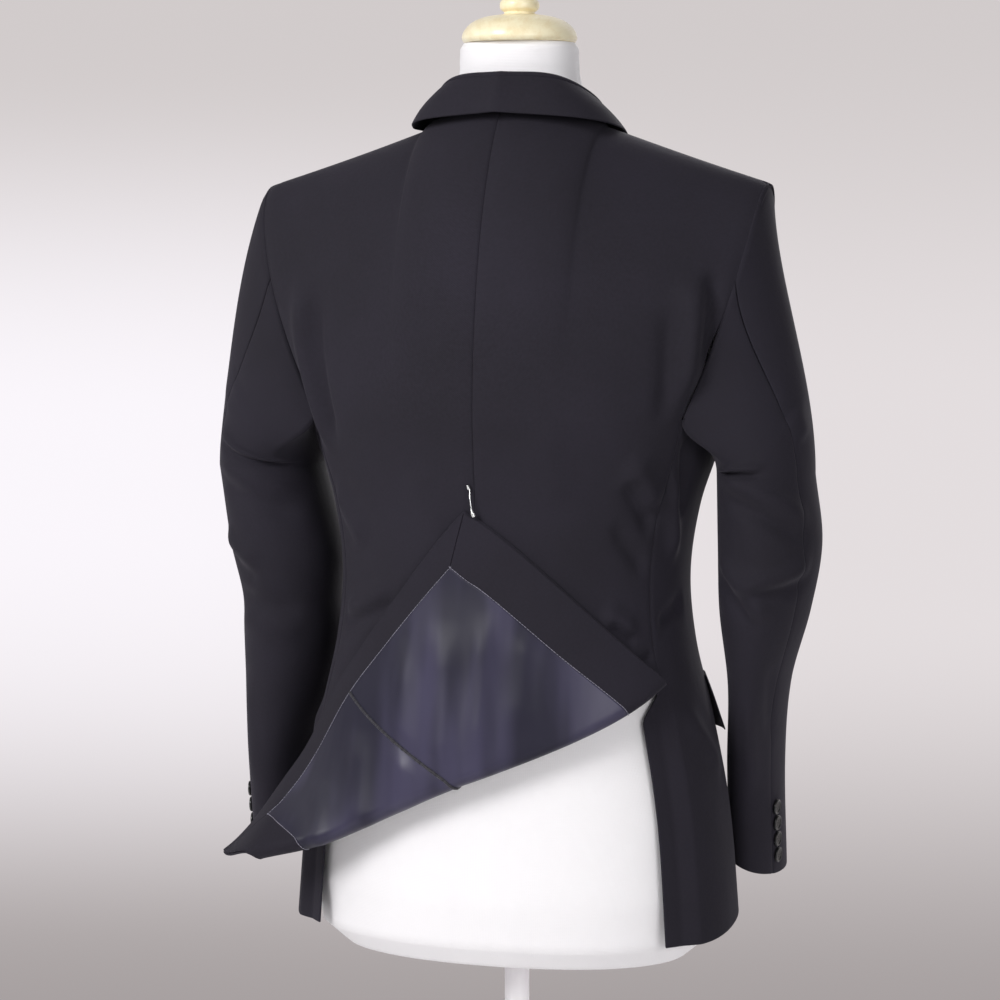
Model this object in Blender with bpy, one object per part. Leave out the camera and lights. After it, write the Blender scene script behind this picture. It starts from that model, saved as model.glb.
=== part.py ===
"""Tailored suit jacket on a limbless dress form, its back skirt folded up and pinned.

Metres, +Z up. The jacket faces -Y, so +X is the wearer's left.
Every piece of cloth is a thin closed wall on one of four surfaces: torso, skirt, sleeve and collar.
"""

import math

import bmesh
import bpy
from mathutils import Vector

# ---- driving sizes -------------------------------------------------------------------------------
CLOTH = 0.0018  # thickness of the jacket's wall
THIN = 0.0010  # thickness of facings, lining and flaps
GAP = 0.0003  # clearance at a seam or between layers

HEM_Z = 0.738
VENT_TOP_Z = 0.985
ARMPIT_Z = 1.200
TOP_V = 1.420  # the surface parameter v at the shoulder ridge
RIDGE_GAP = 0.0004  # how far the back and fronts stop short of it

NECK_SIDE = Vector((0.082, -0.006, 1.4525))
SHOULDER_TIP = Vector((0.234, -0.004, 1.402))
NAPE = Vector((0.0, 0.052, 1.4650))
FRONT_NECK = Vector((0.0, -0.070, 1.370))

SIDE_BACK = 62.0  # degrees from the centre back to the seam between back and side
SIDE_FRONT = 118.0  # degrees from the centre back to the seam between side and front
RAMP = 6.0  # degrees over which the underlap steps down behind the back
RAMP_END = 66.0
UNDER_DEPTH = 0.0074  # how far inside the back's face the underlap lies
UNDER_DROP = 0.018  # height below the vent top where the underlap is fully behind the back
HEM_TURN_UP = 0.022  # width of the turned-up hem on the folded skirt
VENT_TURN_UP = 0.044  # width of the turned-in vent edges
SIDE_LIFT = 0.006  # how much higher the sides' hem runs than the back's
HEM_RISE = 0.014  # how much higher still the hem runs in front
UNDERLAP = 9.0  # degrees that the side reaches under the back below the vent top
NECK_SHARE = 0.36  # share of the half back's top edge that is neckline
SHOULDER_SHIFT = 0.006  # how far the shoulders sit towards the wearer's left
NECK_TURN = 62.0  # degrees that the columns have arched over where they end at the centre neck
SEAM = 0.11  # degrees left open on each side of a seam

# Half sizes of the jacket's rings: half width, depth to the back, depth to the front, centre y.
RINGS = (
    dict(z=0.730, wide=0.204, back=0.140, front=0.142, y=0.0),
    dict(z=0.850, wide=0.193, back=0.136, front=0.138, y=0.0),
    dict(z=0.940, wide=0.176, back=0.131, front=0.132, y=0.002),
    dict(z=1.000, wide=0.162, back=0.125, front=0.128, y=0.004),
    dict(z=1.060, wide=0.157, back=0.119, front=0.124, y=0.004),
    dict(z=1.120, wide=0.165, back=0.122, front=0.130, y=0.002),
    dict(z=1.170, wide=0.181, back=0.129, front=0.137, y=0.0),
    dict(z=1.200, wide=0.188, back=0.132, front=0.140, y=0.0),
)
RING_POWER = 0.90  # below 1 squares the rings a little

# Folded back skirt, as flat cloth: x from the centre back, height q above the hem.
VENT_HALF = 0.170
HEM_X = {1: 0.210, 0: 0.020, -1: -0.176}  # left vent, centre seam and right vent at the hem
SKIRT_Q = VENT_TOP_Z - HEM_Z
FOLD_START = (-0.170, 0.240)  # where the fold leaves the wearer's right vent
PINNED_X = 0.012  # where a fold with no roll would bring the right hem corner
ROLL = 0.0045  # radius of the fold, at the cloth's face
REST = 0.0006  # how close the corner comes at the pin
FREE_BEND = (2.9, 0.55)  # bend of the free skirt across the body: at the vent top, at the hem
DROOP = 0.019  # how far the tip of that corner hangs
CURL = 0.034  # how far the free corner by the wearer's left vent curls up
FREE_Y = 0.141  # how far back the free skirt hangs

# Sleeve centre lines from the biceps down: centre, half width across, half depth.
SLEEVES = {
    "left": (
        dict(z=1.150, x=0.235, y=0.000, wide=0.0450, deep=0.068),
        dict(z=1.075, x=0.2200, y=0.002, wide=0.0490, deep=0.065),
        dict(z=1.030, x=0.2165, y=-0.002, wide=0.0430, deep=0.063),
        dict(z=0.995, x=0.2175, y=-0.007, wide=0.0435, deep=0.062),
        dict(z=0.940, x=0.226, y=-0.018, wide=0.0375, deep=0.060),
        dict(z=0.880, x=0.236, y=-0.032, wide=0.0310, deep=0.058),
        dict(z=0.778, x=0.242, y=-0.050, wide=0.0250, deep=0.056),
    ),
    "right": (
        dict(z=1.150, x=0.2275, y=0.000, wide=0.0415, deep=0.068),
        dict(z=1.090, x=0.231, y=-0.002, wide=0.0445, deep=0.066),
        dict(z=1.030, x=0.225, y=-0.012, wide=0.0390, deep=0.062),
        dict(z=0.960, x=0.214, y=-0.042, wide=0.0260, deep=0.059),
        dict(z=0.880, x=0.202, y=-0.085, wide=0.0240, deep=0.057),
        dict(z=0.778, x=0.198, y=-0.116, wide=0.0240, deep=0.056),
    ),
}
HEAD_BULGE = {"left": 0.38, "right": 0.02}  # how far the sleeve heads swell outwards below the shoulder
HIND_SEAM = 58.0  # degrees from the back round the outside to the hind seam of the sleeve
FORE_SEAM = 228.0  # the same to the seam at the inner front
SLEEVE_SEAM = 0.45  # degrees left open on each side of a sleeve seam
BICEPS_Z = 1.150
CUFF_Z = 0.776
CUFF_TILT = 0.018  # how much higher the cuff's hem is on the inside of the arm

# Collar from the centre back to the gorge: fold line, foot of the stand, lower edge of the fall.
COLLAR = (
    dict(
        u=0.00, fold=(0.000, 0.049, 1.4980),
        foot=(0.000, 0.0520, 1.4658), fall=(0.000, 0.0690, 1.4640),
    ),
    dict(
        u=0.25, fold=(0.043, 0.034, 1.4950),
        foot=(0.050, 0.0398, 1.4632), fall=(0.068, 0.0535, 1.4588),
    ),
    dict(
        u=0.45, fold=(0.067, 0.000, 1.4790),
        foot=(0.0797, -0.0040, 1.4533), fall=(0.0925, 0.0130, 1.4530),
    ),
    dict(
        u=0.65, fold=(0.0690, -0.040, 1.4570),
        foot=(0.0780, -0.0390, 1.4430), fall=(0.0900, -0.042, 1.4440),
    ),
    dict(
        u=1.00, fold=(0.067, -0.094, 1.3930),
        foot=(0.072, -0.0900, 1.3900), fall=(0.104, -0.094, 1.3750),
    ),
)

CUFF_BUTTON_RISE = 0.018
CUFF_BUTTON_PITCH = 0.0155
CUFF_BUTTON_TURN = 9.0  # degrees forward of the hind seam
CUFF_BUTTON_RADIUS = 0.007
FRONT_BUTTON_RADIUS = 0.010
TOP_BUTTON_Z = 1.085
BUTTON_PITCH = 0.105
OVERLAP = 0.018  # each front passes the centre by this much

# The pin from its head to its point: height, distance off the back, radius.
PIN = (
    (1.1445, 0.0020, 0.0014),
    (1.1420, 0.0024, 0.0017),
    (1.1400, 0.0030, 0.0007),
    (1.1330, 0.0060, 0.0006),
    (1.1260, 0.0066, 0.0006),
    (1.1210, 0.0066, 0.0020),
    (1.1180, 0.0066, 0.0016),
)

NECK_Y = -0.006
POLE_RADIUS = 0.0112
BASE_RADIUS = 0.190
CENTRE = Vector((-0.0020, 0.0, 0.0))  # brings the middle of the whole object over the origin

LAP = 0.0032  # how far the wearer's left front stands off the right one
# Front edge: half-width position of the edge from the centre, negative past the centre.
FRONT_EDGE = (
    dict(v=0.735, x=0.085),
    dict(v=0.748, x=0.052),
    dict(v=0.790, x=0.020),
    dict(v=0.860, x=-0.006),
    dict(v=0.940, x=-OVERLAP),
    dict(v=1.085, x=-OVERLAP),
    dict(v=1.200, x=0.030),
)

LAPEL_TOP_V = 1.315
LAPEL_WIDTH = 27.0  # degrees round the chest at the gorge
LAPEL_START = {1: 0.004, -1: 0.052}  # height of each lapel's lower end above the top button
FLAP_LOW_Z = 0.915
FLAP_HIGH_Z = 0.967

# Where each column of the sleeve meets the armhole: 0-1 up its back edge, 1-2 down its front
# edge, 2-3 under the arm. The sleeve angle runs from the back round the outside.
HEAD = (
    dict(angle=HIND_SEAM, place=0.40),
    dict(angle=105.0, place=1.00),
    dict(angle=190.0, place=1.62),
    dict(angle=FORE_SEAM, place=1.86),
    dict(angle=275.0, place=2.50),
    dict(angle=335.0, place=3.00),
    dict(angle=360.0 + HIND_SEAM, place=3.40),
)

# The form's rings from its flat bottom to the neck.
FORM = (
    dict(z=0.712, wide=0.120, back=0.070, front=0.080, y=0.0),
    dict(z=0.719, wide=0.158, back=0.098, front=0.105, y=0.0),
    dict(z=0.738, wide=0.181, back=0.114, front=0.120, y=0.0),
    dict(z=0.780, wide=0.185, back=0.121, front=0.124, y=0.0),
    dict(z=0.850, wide=0.180, back=0.121, front=0.124, y=0.0),
    dict(z=0.940, wide=0.163, back=0.116, front=0.118, y=0.002),
    dict(z=1.000, wide=0.150, back=0.110, front=0.114, y=0.004),
    dict(z=1.060, wide=0.145, back=0.104, front=0.110, y=0.004),
    dict(z=1.120, wide=0.153, back=0.107, front=0.116, y=0.002),
    dict(z=1.200, wide=0.172, back=0.117, front=0.124, y=0.0),
    dict(z=1.270, wide=0.180, back=0.110, front=0.116, y=-0.002),
    dict(z=1.320, wide=0.178, back=0.092, front=0.098, y=-0.004),
    dict(z=1.360, wide=0.168, back=0.070, front=0.076, y=-0.005),
    dict(z=1.385, wide=0.148, back=0.056, front=0.062, y=NECK_Y),
    dict(z=1.405, wide=0.120, back=0.050, front=0.056, y=NECK_Y),
    dict(z=1.425, wide=0.086, back=0.048, front=0.052, y=NECK_Y),
    dict(z=1.440, wide=0.072, back=0.0545, front=0.052, y=NECK_Y),
    dict(z=1.460, wide=0.0620, back=0.0546, front=0.049, y=NECK_Y),
    dict(z=1.500, wide=0.0535, back=0.0440, front=0.046, y=NECK_Y),
    dict(z=1.522, wide=0.0525, back=0.0440, front=0.046, y=NECK_Y),
    dict(z=1.527, wide=0.0495, back=0.0415, front=0.0435, y=NECK_Y),
)

# Turned pieces as (radius, height) from bottom to top.
CAP = (
    (0.0500, 0.0000), (0.0512, 0.0040), (0.0490, 0.0110),
    (0.0420, 0.0180), (0.0310, 0.0225), (0.0180, 0.0245),
)
KNOB = (
    (0.0150, 0.000), (0.0135, 0.002), (0.0170, 0.005), (0.0175, 0.010),
    (0.0150, 0.014), (0.0125, 0.018), (0.0120, 0.026), (0.0150, 0.031),
    (0.0200, 0.038), (0.0215, 0.046), (0.0190, 0.054), (0.0110, 0.060),
)
PLATE = (
    (BASE_RADIUS - 0.004, 0.0), (BASE_RADIUS, 0.003), (BASE_RADIUS, 0.008),
    (BASE_RADIUS - 0.010, 0.012), (0.030, 0.016), (0.022, 0.026),
)


# ---- small tools ---------------------------------------------------------------------------------
def smooth(t):
    """Smooth step from 0 to 1."""
    t = min(max(t, 0.0), 1.0)
    return t * t * (3.0 - 2.0 * t)


def mix(a, b, t):
    """Blend two numbers or vectors."""
    return a * (1.0 - t) + b * t


def spline(rows, key, at, name):
    """Catmull-Rom value of column name in rows, at a value of column key."""
    last = len(rows) - 1
    rising = rows[last][key] > rows[0][key]
    i = 0
    while i < last - 1 and (at > rows[i + 1][key] if rising else at < rows[i + 1][key]):
        i += 1
    low, high = rows[i], rows[i + 1]
    before, after = rows[max(i - 1, 0)], rows[min(i + 2, last)]

    def value(row):
        return Vector(row[name]) if isinstance(row[name], tuple) else row[name]

    span = high[key] - low[key]
    t = min(max((at - low[key]) / span, 0.0), 1.0)
    start = (value(high) - value(before)) * (span / (high[key] - before[key]))
    end = (value(after) - value(low)) * (span / (after[key] - low[key]))
    square, cube = t * t, t * t * t
    return (
        value(low) * (2 * cube - 3 * square + 1)
        + start * (cube - 2 * square + t)
        + value(high) * (3 * square - 2 * cube)
        + end * (cube - square)
    )


def spread(low, high, count):
    """count + 1 evenly spaced values."""
    return [low + (high - low) * i / count for i in range(count + 1)]


def material(name, colour, roughness, metallic=0.0):
    """Principled material."""
    made = bpy.data.materials.new(name)
    made.use_nodes = True
    shader = made.node_tree.nodes["Principled BSDF"]
    shader.inputs["Base Color"].default_value = (*colour, 1.0)
    shader.inputs["Roughness"].default_value = roughness
    shader.inputs["Metallic"].default_value = metallic
    return made


def add_object(name, mesh_builder, finish, smooth_angle=40.0):
    """Wrap a bmesh as a named object with outward faces, centred over the base."""
    mesh = bpy.data.meshes.new(name)
    bmesh.ops.triangulate(mesh_builder, faces=mesh_builder.faces)
    bmesh.ops.recalc_face_normals(mesh_builder, faces=mesh_builder.faces)
    bmesh.ops.translate(mesh_builder, verts=mesh_builder.verts, vec=CENTRE)
    mesh_builder.to_mesh(mesh)
    mesh_builder.free()
    mesh.shade_smooth()
    mesh.set_sharp_from_angle(angle=math.radians(smooth_angle))
    mesh.materials.append(finish)
    made = bpy.data.objects.new(name, mesh)
    bpy.context.scene.collection.objects.link(made)
    return made


def lifted(surface, u, v, lift, step=0.5e-3, step_u=None):
    """A point of a surface moved along its outward normal."""
    du = step_u or step
    point = surface(u, v)
    along = surface(u + du, v) - surface(u - du, v)
    up = surface(u, v + step) - surface(u, v - step)
    return point + up.cross(along).normalized() * lift


def wall(name, surface, rows, outer, inner, finish, step_u=None):
    """Closed wall between two lifts over rows of (u, v) places of equal length."""
    builder = bmesh.new()

    def layer(lift):
        made = []
        for row in rows:
            made.append([builder.verts.new(lifted(surface, u, v, lift, step_u=step_u)) for u, v in row])
        return made

    front, back = layer(outer), layer(inner)
    last_row, last_column = len(rows) - 1, len(rows[0]) - 1
    for i in range(last_row):
        for j in range(last_column):
            builder.faces.new((front[i][j], front[i][j + 1], front[i + 1][j + 1], front[i + 1][j]))
            builder.faces.new((back[i][j], back[i + 1][j], back[i + 1][j + 1], back[i][j + 1]))
    rim = [(0, j) for j in range(last_column)] + [(i, last_column) for i in range(last_row)]
    rim += [(last_row, j) for j in range(last_column, 0, -1)] + [(i, 0) for i in range(last_row, 0, -1)]
    for (i, j), (m, n) in zip(rim, rim[1:] + rim[:1]):
        builder.faces.new((front[i][j], back[i][j], back[m][n], front[m][n]))
    return add_object(name, builder, finish)


def turned(name, profile, finish, centre=(0.0, 0.0), sides=28):
    """Solid of revolution about a vertical axis, from (radius, z) points bottom to top."""
    builder = bmesh.new()
    rings = []
    for radius, z in profile:
        ring = []
        for k in range(sides):
            angle = 2 * math.pi * k / sides
            x, y = radius * math.cos(angle), radius * math.sin(angle)
            ring.append(builder.verts.new((centre[0] + x, centre[1] + y, z)))
        rings.append(ring)
    for low, high in zip(rings, rings[1:]):
        for k in range(sides):
            builder.faces.new((low[k], low[(k + 1) % sides], high[(k + 1) % sides], high[k]))
    builder.faces.new(rings[0][::-1])
    builder.faces.new(rings[-1])
    return add_object(name, builder, finish)


# ---- surfaces ------------------------------------------------------------------------------------
def ring_point(angle, z):
    """Point of the jacket's outer ring at a height; angle in degrees from the centre back to +X."""
    turn = math.radians(angle)
    across, along = math.sin(turn), math.cos(turn)
    depth = spline(RINGS, "z", z, "back" if along > 0 else "front")
    x = spline(RINGS, "z", z, "wide") * math.copysign(abs(across) ** RING_POWER, across)
    y = spline(RINGS, "z", z, "y") + depth * math.copysign(abs(along) ** RING_POWER, along)
    return Vector((x, y, z))


def top_point(share, behind):
    """Point of the neckline and shoulder ridge: share 0 at the centre, 1 at the shoulder tip."""
    if share >= NECK_SHARE:
        t = (share - NECK_SHARE) / (1.0 - NECK_SHARE)
        return NECK_SIDE.lerp(SHOULDER_TIP, t) - Vector((0, 0, 0.001 * math.sin(math.pi * t)))
    turn = share / NECK_SHARE * math.pi / 2
    middle = NAPE if behind else FRONT_NECK
    x = NECK_SIDE.x * math.sin(turn)
    inward = math.cos(turn)
    return Vector((x, mix(NECK_SIDE.y, middle.y, inward), mix(NECK_SIDE.z, middle.z, inward)))


def torso(angle, v):
    """Jacket surface: rings up to the armpit, then columns that arch over to the shoulder ridge."""
    if v <= ARMPIT_Z:
        return ring_point(angle, v)
    behind = abs(angle) < 90
    share = abs(angle) / SIDE_BACK if behind else (180 - abs(angle)) / (180 - SIDE_FRONT)
    low = ring_point(abs(angle), ARMPIT_Z)
    top = top_point(min(share, 1.0), behind)
    last_turn = math.radians(mix(NECK_TURN, 90.0, min(share / NECK_SHARE, 1.0)))
    turn = (v - ARMPIT_Z) / (TOP_V - ARMPIT_Z) * last_turn
    rise = math.sin(turn) / math.sin(last_turn)
    run = (math.cos(turn) - math.cos(last_turn)) / (1 - math.cos(last_turn))
    width = mix(low.x, top.x, rise * (1.50 - 0.50 * rise))
    point = Vector((width, mix(top.y, low.y, run), mix(low.z, top.z, rise)))
    point.x = math.copysign(point.x, angle) + SHOULDER_SHIFT * rise * smooth(share - NECK_SHARE)
    return point


def fold_frame():
    """Start of the fold, its direction and the direction across it, in the flat skirt."""
    start = Vector(FOLD_START)
    corner = Vector((HEM_X[-1], 0.0)) - start
    reach = corner.length
    lifted_angle = math.acos((PINNED_X - start.x) / reach)
    hanging_angle = math.atan2(corner.y, corner.x)
    middle = (lifted_angle + hanging_angle) / 2
    along = Vector((math.cos(middle), math.sin(middle)))
    return start, along, Vector((along.y, -along.x))


FOLD_AT, FOLD_ALONG, FOLD_DOWN = fold_frame()
CORNER_REACH = (Vector((HEM_X[-1], 0.0)) - FOLD_AT).dot(FOLD_DOWN)


def skirt_base(x_flat, q):
    """Where the skirt's cloth would lie unfolded: on the body above the vents, free below."""
    near = smooth((q - 0.10) / (SKIRT_Q - 0.10))
    z = HEM_Z + q
    bend = FREE_BEND[0] if x_flat < 0 else mix(FREE_BEND[1], FREE_BEND[0], smooth((q - 0.04) / 0.20))
    x = x_flat
    for _ in range(6):
        x -= (x + 2 / 3 * bend * bend * x ** 3 - x_flat) / (1 + 2 * bend * bend * x * x)
    curl = smooth((x_flat - 0.06) / 0.15) * (1 - smooth((q - 0.02) / 0.10))
    sag = 0.10 * max(x_flat - 0.10, 0.0) + DROOP * smooth((x_flat - 0.195) / 0.055) - CURL * curl
    free = Vector((x, FREE_Y + CURL / 2 * curl - bend * x * x, z - sag))
    if near <= 0.0:
        return free
    return free.lerp(torso(x_flat / VENT_HALF * SIDE_BACK, z), near)


def skirt(x_flat, q):
    """The folded skirt's outer cloth face, from flat cloth coordinates."""
    offset = Vector((x_flat, q)) - FOLD_AT
    beyond, along = offset.dot(FOLD_DOWN), offset.dot(FOLD_ALONG)
    half_turn = math.pi * ROLL
    if beyond <= 0:
        across, height = beyond, 0.0
    elif beyond <= half_turn:
        across, height = ROLL * math.sin(beyond / ROLL), ROLL * (1 - math.cos(beyond / ROLL))
    else:
        across = half_turn - beyond
        height = mix(2 * ROLL, REST, smooth((beyond - half_turn) / (CORNER_REACH - half_turn)) ** 0.6)
    place = FOLD_AT + FOLD_ALONG * along + FOLD_DOWN * across
    return lifted(skirt_base, place.x, place.y, height)


def side_at(q, side):
    """Flat x of the skirt's vent edge (side 1 or -1) or centre seam (0) at a height above the hem."""
    return mix(HEM_X[side], side * VENT_HALF, q / SKIRT_Q)


def fold_q(x, beyond):
    """Height above the hem where a line at constant flat x lies a distance beyond the fold."""
    return FOLD_AT.y + (beyond - (x - FOLD_AT.x) * FOLD_DOWN.x) / FOLD_DOWN.y


def edge_q(side, beyond):
    """The same on a vent edge (side 1 or -1) or on the centre line (side 0)."""
    low = (Vector((side_at(0.0, side), 0.0)) - FOLD_AT).dot(FOLD_DOWN)
    high = (Vector((side_at(SKIRT_Q, side), SKIRT_Q)) - FOLD_AT).dot(FOLD_DOWN)
    return (beyond - low) / (high - low) * SKIRT_Q


def back_surface(x_flat, v):
    """Back of the jacket: folded skirt below the vent tops, torso above."""
    if v < VENT_TOP_Z:
        return skirt(x_flat, v - HEM_Z)
    return torso(x_flat / VENT_HALF * SIDE_BACK, v)


def side_surface(angle, v):
    """Side of the jacket; the underlap lies inside the back's edge below the vent top."""
    under = min(max((RAMP_END - abs(angle)) / RAMP, 0.0), 1.0) * smooth((VENT_TOP_Z - v) / UNDER_DROP)
    return lifted(torso, angle, v, -UNDER_DEPTH * under, step_u=0.2)


def front_surface(angle, v):
    """Front of the jacket; the wearer's left front laps over the right one at the centre."""
    over = smooth((angle - 158.0) / 12.0) if angle > 0 else 0.0
    return lifted(torso, angle, v, LAP * over, step_u=0.2)


def front_edge_angle(v):
    """Angle of the front's edge: cutaway, overlap, then the roll line up to the neck."""
    x = spline(FRONT_EDGE, "v", min(v, ARMPIT_Z), "x")
    angle = 180.0 - math.degrees(math.asin(x / spline(RINGS, "z", min(v, ARMPIT_Z), "wide")))
    if v <= ARMPIT_Z:
        return angle
    neck = 180.0 - (180.0 - SIDE_FRONT) * NECK_SHARE
    return mix(angle, neck, (v - ARMPIT_Z) / (TOP_V - ARMPIT_Z))


def armhole(place, side):
    """Point of the armhole's edge; see HEAD."""
    place = place % 3.0
    if place <= 1.0:
        return torso(side * SIDE_BACK, mix(ARMPIT_Z, TOP_V, place))
    if place <= 2.0:
        return torso(side * SIDE_FRONT, mix(TOP_V, ARMPIT_Z, place - 1.0))
    across = place - 2.0
    return torso(side * mix(SIDE_FRONT, SIDE_BACK, across), ARMPIT_Z - armpit_dip(across))


def armpit_dip(across):
    """Depth of the rounded armhole below its corners."""
    return 0.012 * math.sin(math.pi * across)


def linear(rows, key, at, name):
    """Straight interpolation in a table."""
    for low, high in zip(rows, rows[1:]):
        if at <= high[key] or high is rows[-1]:
            return mix(low[name], high[name], (at - low[key]) / (high[key] - low[key]))
    return rows[-1][name]


def sleeve_surface(name):
    """Surface of one sleeve: angle in degrees, v 0 at the cuff, 1 at the biceps, 2 at the armhole."""
    side = 1 if name == "left" else -1
    rings = SLEEVES[name]

    def ring(angle, z):
        turn = math.radians(angle)
        centre = Vector((side * spline(rings, "z", z, "x"), spline(rings, "z", z, "y"), z))
        wide, deep = spline(rings, "z", z, "wide"), spline(rings, "z", z, "deep")
        return centre + Vector((side * wide * math.sin(turn), deep * math.cos(turn), 0.0))

    def surface(u, v):
        angle = abs(u)
        if v <= 1.0:
            cuff = CUFF_Z + CUFF_TILT * (1 - math.sin(math.radians(angle))) / 2
            return ring(angle, mix(cuff, BICEPS_Z, v))
        start = ring(angle, BICEPS_Z)
        around = angle if angle >= HIND_SEAM else angle + 360.0
        end = armhole(linear(HEAD, "angle", around, "place"), side) + Vector((side * 0.0020, 0.0, 0.0))
        reach = (end - start).length
        high = (end.z - ARMPIT_Z) / (SHOULDER_TIP.z - ARMPIT_Z)
        leave = Vector((0.0, 0.0, reach))
        arrive = Vector((-side * HEAD_BULGE[name] * high, 0.0, 1.0 - 0.1 * high)) * reach
        t = v - 1.0
        square, cube = t * t, t * t * t
        return (
            start * (2 * cube - 3 * square + 1)
            + leave * (cube - 2 * square + t)
            + end * (3 * square - 2 * cube)
            + arrive * (cube - square)
        )

    return surface


def collar_surface(u, v):
    """Collar: u -1 to 1 round the neck, v 0 at the foot of the stand, 1 at the fold, 2 at the edge."""
    share = abs(u)
    fold, foot, fall = (spline(COLLAR, "u", share, name) for name in ("fold", "foot", "fall"))
    outward = Vector((fall.x - fold.x, fall.y - fold.y, 0.0))
    if v <= 1.0:
        point = foot.lerp(fold - outward * 0.10 - Vector((0, 0, 0.003)), v)
        point -= outward * 0.05 * math.sin(math.pi * v)
    elif v <= 1.3:
        turn = (v - 1.0) / 0.3 * math.pi
        middle = fold + outward * 0.06 - Vector((0, 0, 0.003))
        point = middle - outward * 0.16 * math.cos(turn) + Vector((0, 0, 0.003 * math.sin(turn)))
    else:
        shoulder = fold + outward * 0.22 - Vector((0, 0, 0.003))
        t = (v - 1.3) / 0.7
        point = shoulder.lerp(fall, t) + outward * 0.10 * math.sin(math.pi * t)
    point.x = math.copysign(point.x, u)
    return point


# ---- panels --------------------------------------------------------------------------------------
def quad_rows(first, second, across, along):
    """Rows of (u, v) in a four-sided patch between two lines, each a pair of (u, v) ends."""
    rows = []
    for t in spread(0.0, 1.0, along):
        start = Vector(first[0]).lerp(Vector(first[1]), t)
        end = Vector(second[0]).lerp(Vector(second[1]), t)
        rows.append([tuple(start.lerp(end, s)) for s in spread(0.0, 1.0, across)])
    return rows


def back_rows(side):
    """Rows of one half back, hem to neck, following the fold in between."""
    half_turn = math.pi * ROLL
    levels = [(0.0, 0.0)]
    end = (edge_q(0, half_turn), edge_q(side, half_turn))
    levels += [(end[0] * t, end[1] * t) for t in spread(0.0, 1.0, 6)[1:-1]]
    levels += [(edge_q(0, half_turn * t), edge_q(side, half_turn * t)) for t in spread(1.0, 0.0, 6)]
    start = levels[-1]
    levels += [(mix(start[0], SKIRT_Q, t), mix(start[1], SKIRT_Q, t)) for t in (0.33, 0.67)]
    rows = []
    for centre_q, outer_q in levels:
        outer_x = side_at(outer_q, side)
        centre_x = side_at(centre_q, 0) + side * GAP / 2
        steps = spread(0.0, 1.0, 8)
        rows.append([(mix(centre_x, outer_x, t), HEM_Z + mix(centre_q, outer_q, t)) for t in steps])
    limit = VENT_HALF * (1 - SEAM / SIDE_BACK)
    heights = spread(VENT_TOP_Z, ARMPIT_Z, 7) + spread(ARMPIT_Z, TOP_V - RIDGE_GAP, 7)[1:]
    for v in heights:
        rows.append([(side * mix(GAP / 2, limit, t), v) for t in spread(0.0, 1.0, 8)])
    return rows


def side_columns(back):
    """Angles of the side's columns from its back edge to the front seam."""
    return [back, mix(back, RAMP_END, 0.55)] + spread(RAMP_END, SIDE_FRONT - SEAM, 4)


def hem_lift(angle, v):
    """How far a place near the hem is raised towards the front."""
    rise = SIDE_LIFT + HEM_RISE * smooth((angle - RAMP_END) / (SIDE_FRONT - RAMP_END))
    return rise * (1 - smooth((v - HEM_Z) / 0.2))


def side_rows(side):
    """Rows of one side body with its underlap."""
    rows = []
    for t in (0.0, 0.26, 0.52, 0.74, 0.80, 0.86, 0.92, 0.96):
        v = mix(HEM_Z, VENT_TOP_Z, t)
        back = SIDE_BACK + SEAM - UNDERLAP * smooth((VENT_TOP_Z - UNDER_DROP - v) / 0.03)
        rows.append([(side * angle, v + hem_lift(angle, v)) for angle in side_columns(back)])
    for t in spread(0.0, 1.0, 7):
        row = []
        for angle in side_columns(SIDE_BACK + SEAM):
            across = (SIDE_FRONT - SEAM - angle) / (SIDE_FRONT - SIDE_BACK - 2 * SEAM)
            row.append((side * angle, mix(VENT_TOP_Z, ARMPIT_Z - armpit_dip(across), t)))
        rows.append(row)
    return rows


def front_rows(side):
    """Rows of one front from its rounded hem to the shoulder."""
    heights = [HEM_Z, 0.745, 0.765, 0.80, 0.85, 0.90, 0.95, 1.00, 1.045, 1.085, 1.125, 1.165]
    heights += spread(ARMPIT_Z, TOP_V - RIDGE_GAP, 7)
    rows = []
    for height in heights:
        v = height + hem_lift(SIDE_FRONT, height)
        edge = front_edge_angle(v)
        rows.append([(side * mix(SIDE_FRONT + SEAM, edge, t), v) for t in spread(0.0, 1.0, 8)])
    return rows


def lapel_rows(side):
    """Rows of one lapel from the top button to the gorge."""
    rows = []
    start = TOP_BUTTON_Z + LAPEL_START[side]
    for t in spread(0.0, 1.0, 8):
        v = mix(start, LAPEL_TOP_V, t)
        roll = front_edge_angle(v)
        width = mix(1.5, LAPEL_WIDTH, t ** 0.9)
        rise = mix(0.0, 0.018, t)
        rows.append([(side * (roll - width * s), v + rise * (s - 0.5)) for s in spread(0.02, 1.0, 5)])
    return rows


def pocket_flap_rows(side):
    """Rows of one hip pocket flap with rounded lower corners."""
    rows = []
    for t in spread(0.0, 1.0, 4):
        inset = 4.0 * (1 - min(t / 0.35, 1.0)) ** 2
        row = []
        for s in spread(0.0, 1.0, 8):
            row.append((side * mix(99.0 + inset, 148.0 - inset, s), mix(FLAP_LOW_Z, FLAP_HIGH_Z, t)))
        rows.append(row)
    return rows


def flap_surface(angle, v):
    """A pocket flap stands off the jacket towards its lower back corner."""
    low = (FLAP_HIGH_Z - v) / (FLAP_HIGH_Z - FLAP_LOW_Z)
    rear = smooth((125.0 - abs(angle)) / 25.0)
    return lifted(torso, angle, v, 0.0006 + low * (0.0015 + 0.005 * rear), step_u=0.2)


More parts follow.
